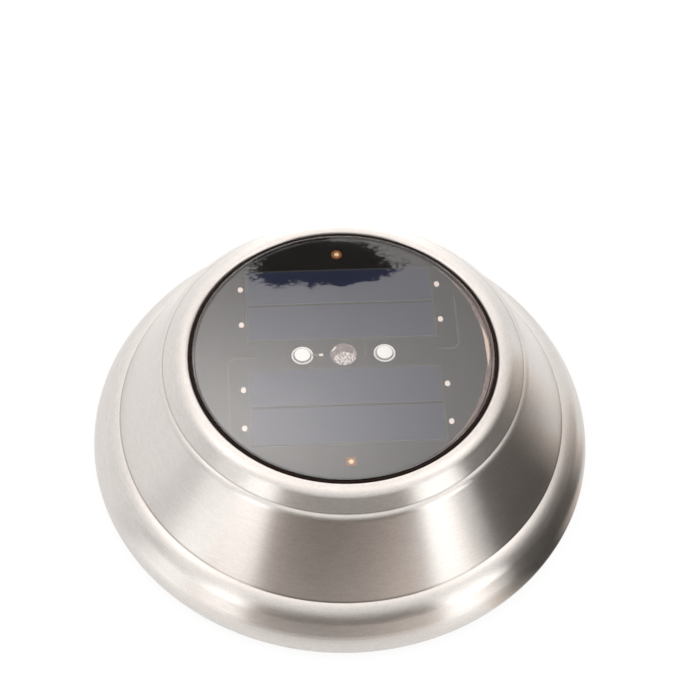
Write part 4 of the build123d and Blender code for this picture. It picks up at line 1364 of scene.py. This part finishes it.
@dataclass
class Studio:
    """Camera, floor, world, lamps and cards."""

    azimuth: float = -5.385
    elevation: float = 53.36
    roll: float = 2.466
    distance: float = 0.5257
    focal_pixels: float = 1868.04
    target_pixel: Point = (343.585, 352.243)
    target_height: float = 42.5
    floor_hole: float = 0.0712
    floor_reach: float = 4.2
    floor_colour: Colour = (0.86, 0.86, 0.85)
    shadow_colour: Colour = (0.15, 0.15, 0.15)
    backdrop_level: float = 0.86
    surround_level: float = 0.85
    softbox_size: Point = (1.6, 1.25)
    softbox_place: Triple = (0.0, 0.5, 1.0)
    softbox_colour: Colour = (1.0, 0.964, 0.945)

    def build(self) -> None:
        """Sets the whole stage."""
        self.camera()
        self.floor()
        self.world()
        self.overhead()
        for card in self.cards():
            card.build()
        bpy.context.scene.view_settings.view_transform = "Standard"

    def camera(self) -> None:
        """Stands the camera where the photograph was taken from."""
        turn, tilt, roll = (math.radians(a) for a in (self.azimuth, self.elevation, self.roll))
        back = Vector(
            (math.sin(turn) * math.cos(tilt), -math.cos(turn) * math.cos(tilt), math.sin(tilt))
        )
        level = Vector((math.cos(turn), math.sin(turn), 0.0))
        upright = back.cross(level)
        right = level * math.cos(roll) + upright * math.sin(roll)
        up = upright * math.cos(roll) - level * math.sin(roll)
        across, down = (p - IMAGE_SIDE / 2 for p in self.target_pixel)
        reach = self.distance / self.focal_pixels
        target = Vector((0.0, 0.0, self.target_height * MM))
        place = target - right * across * reach + up * down * reach + back * self.distance
        data = bpy.data.cameras.new("camera")
        data.sensor_width = SENSOR
        data.lens = self.focal_pixels / IMAGE_SIDE * SENSOR
        data.clip_start = 0.01
        data.clip_end = 50.0
        camera = bpy.data.objects.new("camera", data)
        facing = Matrix((right, up, back)).transposed().to_4x4()
        camera.matrix_world = Matrix.Translation(place) @ facing
        bpy.context.scene.collection.objects.link(camera)
        bpy.context.scene.camera = camera

    @staticmethod
    def seen(graph: Graph) -> Socket:
        """1 for rays from the camera, from gloss or through glass."""
        camera = graph.add("ShaderNodeLightPath", output="Is Camera Ray")
        glossy = camera.other("Is Glossy Ray")
        through = camera.other("Is Transmission Ray")
        return (camera + glossy + through).clamped()

    def floor(self) -> None:
        """A pale floor that looks white and keeps the light's shadow.

        It is open under the light and clear from below, so that the underside can be looked at.
        """
        bm = arc((self.floor_hole, 0.0), (self.floor_reach, 0.0), 0.0, 360.0, 96)
        bm.normal_update()
        down = [face for face in bm.faces if face.normal.z < 0]
        bmesh.ops.reverse_faces(bm, faces=down)
        material, graph = new_material("pale_floor")
        cloud = graph.noise(graph.place(), 2.0)
        pale = graph.shade(self.floor_colour, cloud, 0.01)
        lit = graph.add("ShaderNodeBsdfDiffuse", inputs={0: pale})
        shadowed = graph.add("ShaderNodeBsdfDiffuse", inputs={0: rgba(self.shadow_colour)})
        white = graph.glow(WHITE, self.backdrop_level)
        backdrop = graph.add("ShaderNodeAddShader", inputs={0: shadowed, 1: white})
        above = graph.blend(self.seen(graph), lit, backdrop)
        clear = graph.add("ShaderNodeBsdfTransparent")
        behind = graph.add("ShaderNodeNewGeometry", output="Backfacing")
        graph.finish(graph.blend(behind, above, clear))
        stage_piece(bm, "floor", material, seen=True)

    def world(self) -> None:
        """A plain white surround, a little softer as a lamp than as a background."""
        world = bpy.data.worlds.new("surround")
        bpy.context.scene.world = world
        world.use_nodes = True
        graph = Graph(world.node_tree, "ShaderNodeOutputWorld")
        level = self.seen(graph) * (1 - self.surround_level) + self.surround_level
        graph.finish(graph.add("ShaderNodeBackground", inputs={0: rgba(WHITE), 1: level}))

    def overhead(self) -> None:
        """The softbox above and behind, brighter at its left, overhead and at its back."""
        bm = bmesh.new()
        bmesh.ops.create_grid(bm, x_segments=1, y_segments=1, size=0.5)
        bmesh.ops.scale(bm, vec=(*self.softbox_size, 1), verts=bm.verts[:])
        bmesh.ops.translate(bm, vec=self.softbox_place, verts=bm.verts[:])
        bmesh.ops.reverse_faces(bm, faces=bm.faces[:])
        material, graph = new_material("softbox")
        place = graph.place()
        x, y, _ = graph.parts(place)
        level = self.softbox_level(graph, x, y) * (0.94 + graph.noise(place, 9.0, 2.0) * 0.12)
        patch = self.torn_patch(graph, x, y)
        graph.finish(graph.glow(self.softbox_colour, level * (1 - patch * 0.99)))
        stage_piece(bm, "overhead_softbox", material)

    @staticmethod
    def softbox_level(graph: Graph, x: Socket, y: Socket) -> Socket:
        """How bright the softbox is at a point: a pool of light, and slopes over the rest.

        Args:
            graph: Its material's nodes.
            x: The point's place across, in metres.
            y: Its place along.

        Returns:
            The strength there.
        """
        across, along = (x + 0.1) / 0.2, (y - 0.615) / 0.14
        pool = graph.math("EXPONENT", (across * across + along * along) * -1.0) * 1.7
        level = pool * graph.band(y, 0.47, 0.57) + 0.78
        slopes = (
            (y, 0.5, 0.4, 0.48),
            (y, 0.33, 0.22, 0.5),
            (y, 0.87, 0.96, 0.9),
            (x, -0.33, -0.42, 0.45),
            (x, 0.24, 0.34, 0.42),
            (x, 0.56, 0.68, -0.65),
        )
        for place, start, end, strength in slopes:
            level = level + graph.band(place, start, end) * strength
        return level

    @staticmethod
    def torn_patch(graph: Graph, x: Socket, y: Socket) -> Socket:
        """The dark patch with torn edges that the lens mirrors.

        Args:
            graph: The softbox's nodes.
            x: The point's place across, in metres.
            y: Its place along.

        Returns:
            1 in the patch and 0 outside it.
        """
        fine = graph.noise(graph.vector(x * 0.2, y, 0.0), 700.0, 3.0, 0.6) - 0.5
        broad = graph.noise(graph.vector(x * 0.6, y, 0.3), 75.0, 2.0, 0.5) - 0.5
        along = (x - 0.052 + fine * 0.085 + broad * 0.02) / 0.07
        height = y - 0.806 + fine * 0.014 + broad * 0.024
        upper = graph.math("MAXIMUM", (height + x * 0.16 - 0.013) / 0.033, 0.0)
        lower = graph.math("MAXIMUM", (height - x * 0.06) / -0.023, 0.0)
        reach = abs(along) ** 2.2 + upper * upper + lower ** 3.0
        return graph.band(reach, 1.04, 0.97)

    @staticmethod
    def cards() -> list[Card]:
        """The bright strips and dark cards that the steel mirrors."""
        brown = (1.0, 0.86, 0.78)
        dusk = (1.0, 0.9, 0.82)
        low = 0.0012
        over = 0.0014
        foot, head = (0.8, 0.0), (0.8, 0.8)
        back = ((38, 0.9), (53, 1.1), (66, 1.35), (77, 1.8), (97, 1.8), (108, 1.25))
        behind = (*back, (120, 1.15), (138, 1.0))
        left = ((150, 1.0), (180, 0.85), (198, 0.6))
        left_lamp = ((213, 1.4), (220, 2.7), (233, 2.6))
        left_flat = ((192, 1.0), (198, 0.8), (203, 0.85), (209, 1.5), (215, 1.8), (223, 1.5))
        front = ((234, 0.5), (245, 0.26), (258, 0.18), (285, 0.2), (304, 0.3))
        front_flat = ((236, 0.5), *front[1:-1], (302, 0.3))
        front_low = ((230, 0.7), (240, 0.3), (256, 0.2), (272, 0.25), (284, 0.6), (292, 1.0))
        front_rim = ((230, 0.8), (238, 0.5), (262, 0.55), (276, 1.0), (285, 1.3), (296, 1.3))
        right_lamp = ((305, 2.6), (330, 2.6))
        right = ((331, 0.08), (361, 0.1), (372, 0.2), (383, 0.5), (392, 0.8))
        right_lit = ((288, 1.0), (296, 1.35), (309, 1.25), (316, 1.0))
        right_rim = ((303, 1.0), (311, 0.3), (318, 0.06), (327, 0.08), (336, 0.6), (344, 1.0))
        right_near = ((304, 1.0), (310, 0.35), (316, 0.02), (346, 0.02), (354, 0.5), (360, 1.0))
        right_mid = ((310, 0.9), (318, 0.05), (353, 0.06), (365, 0.25), (378, 1.0))
        right_far = ((318, 0.3), (324, 0.13), (354, 0.13), (370, 0.28), (388, 0.65))
        glow = ((303, 1.2), (309, 1.8), (318, 1.5))
        return [
            Card("back_wall", (1.14, 0.0), (1.14, 1.02), behind),
            Card("back_mat", (0.0745, low), (1.13, low), behind),
            Card("left_card", (0.85, low), (0.85, 0.5), left),
            Card("left_strip", foot, head, left_lamp, outer=0.36, lamp=True),
            Card("left_mat", (0.085, low), (0.2, low), (*left_flat, (232, 1.0))),
            Card("front_card", (0.75, low), (0.75, 0.7), front, brown, 0.5),
            Card("front_mat", (0.2, low), (0.75, low), front_flat, brown),
            Card("front_mat_near", (0.14, over), (0.22, over), ((222, 1.0), *front_low), brown),
            Card("front_mat_rim", (0.1, over), (0.14, over), ((222, 1.0), *front_rim), brown),
            Card("right_strip", foot, head, right_lamp, outer=0.36, lamp=True),
            Card("right_mat_glow", (0.2, low), (0.7, low), glow),
            Card("right_mat_lit", (0.085, low), (0.2, low), right_lit),
            Card("right_card", (0.7, low), (0.7, 0.55), right, dusk),
            Card("right_mat_rim", (0.0735, over), (0.08, over), right_rim, dusk),
            Card("right_mat_near", (0.08, over), (0.1, over), right_near, dusk),
            Card("right_mat_mid", (0.1, over), (0.15, over), right_mid, dusk),
            Card("right_mat_far", (0.15, over), (0.7, over), right_far, dusk, 1.6),
        ]


def main() -> None:
    """Builds the light's sub-assemblies in order, then the studio, and logs each one as it is
    done.
    """
    logging.basicConfig(level=logging.INFO, format="%(message)s")
    assemblies = (
        SteelCover(),
        LensAndGasket(),
        SolarPanel(),
        LampsAndPipe(),
        Underside(),
        Electrics(),
        Studio(),
    )
    for assembly in assemblies:
        assembly.build()
        log.info("%s done", type(assembly).__name__)


if __name__ == "__main__":
    main()
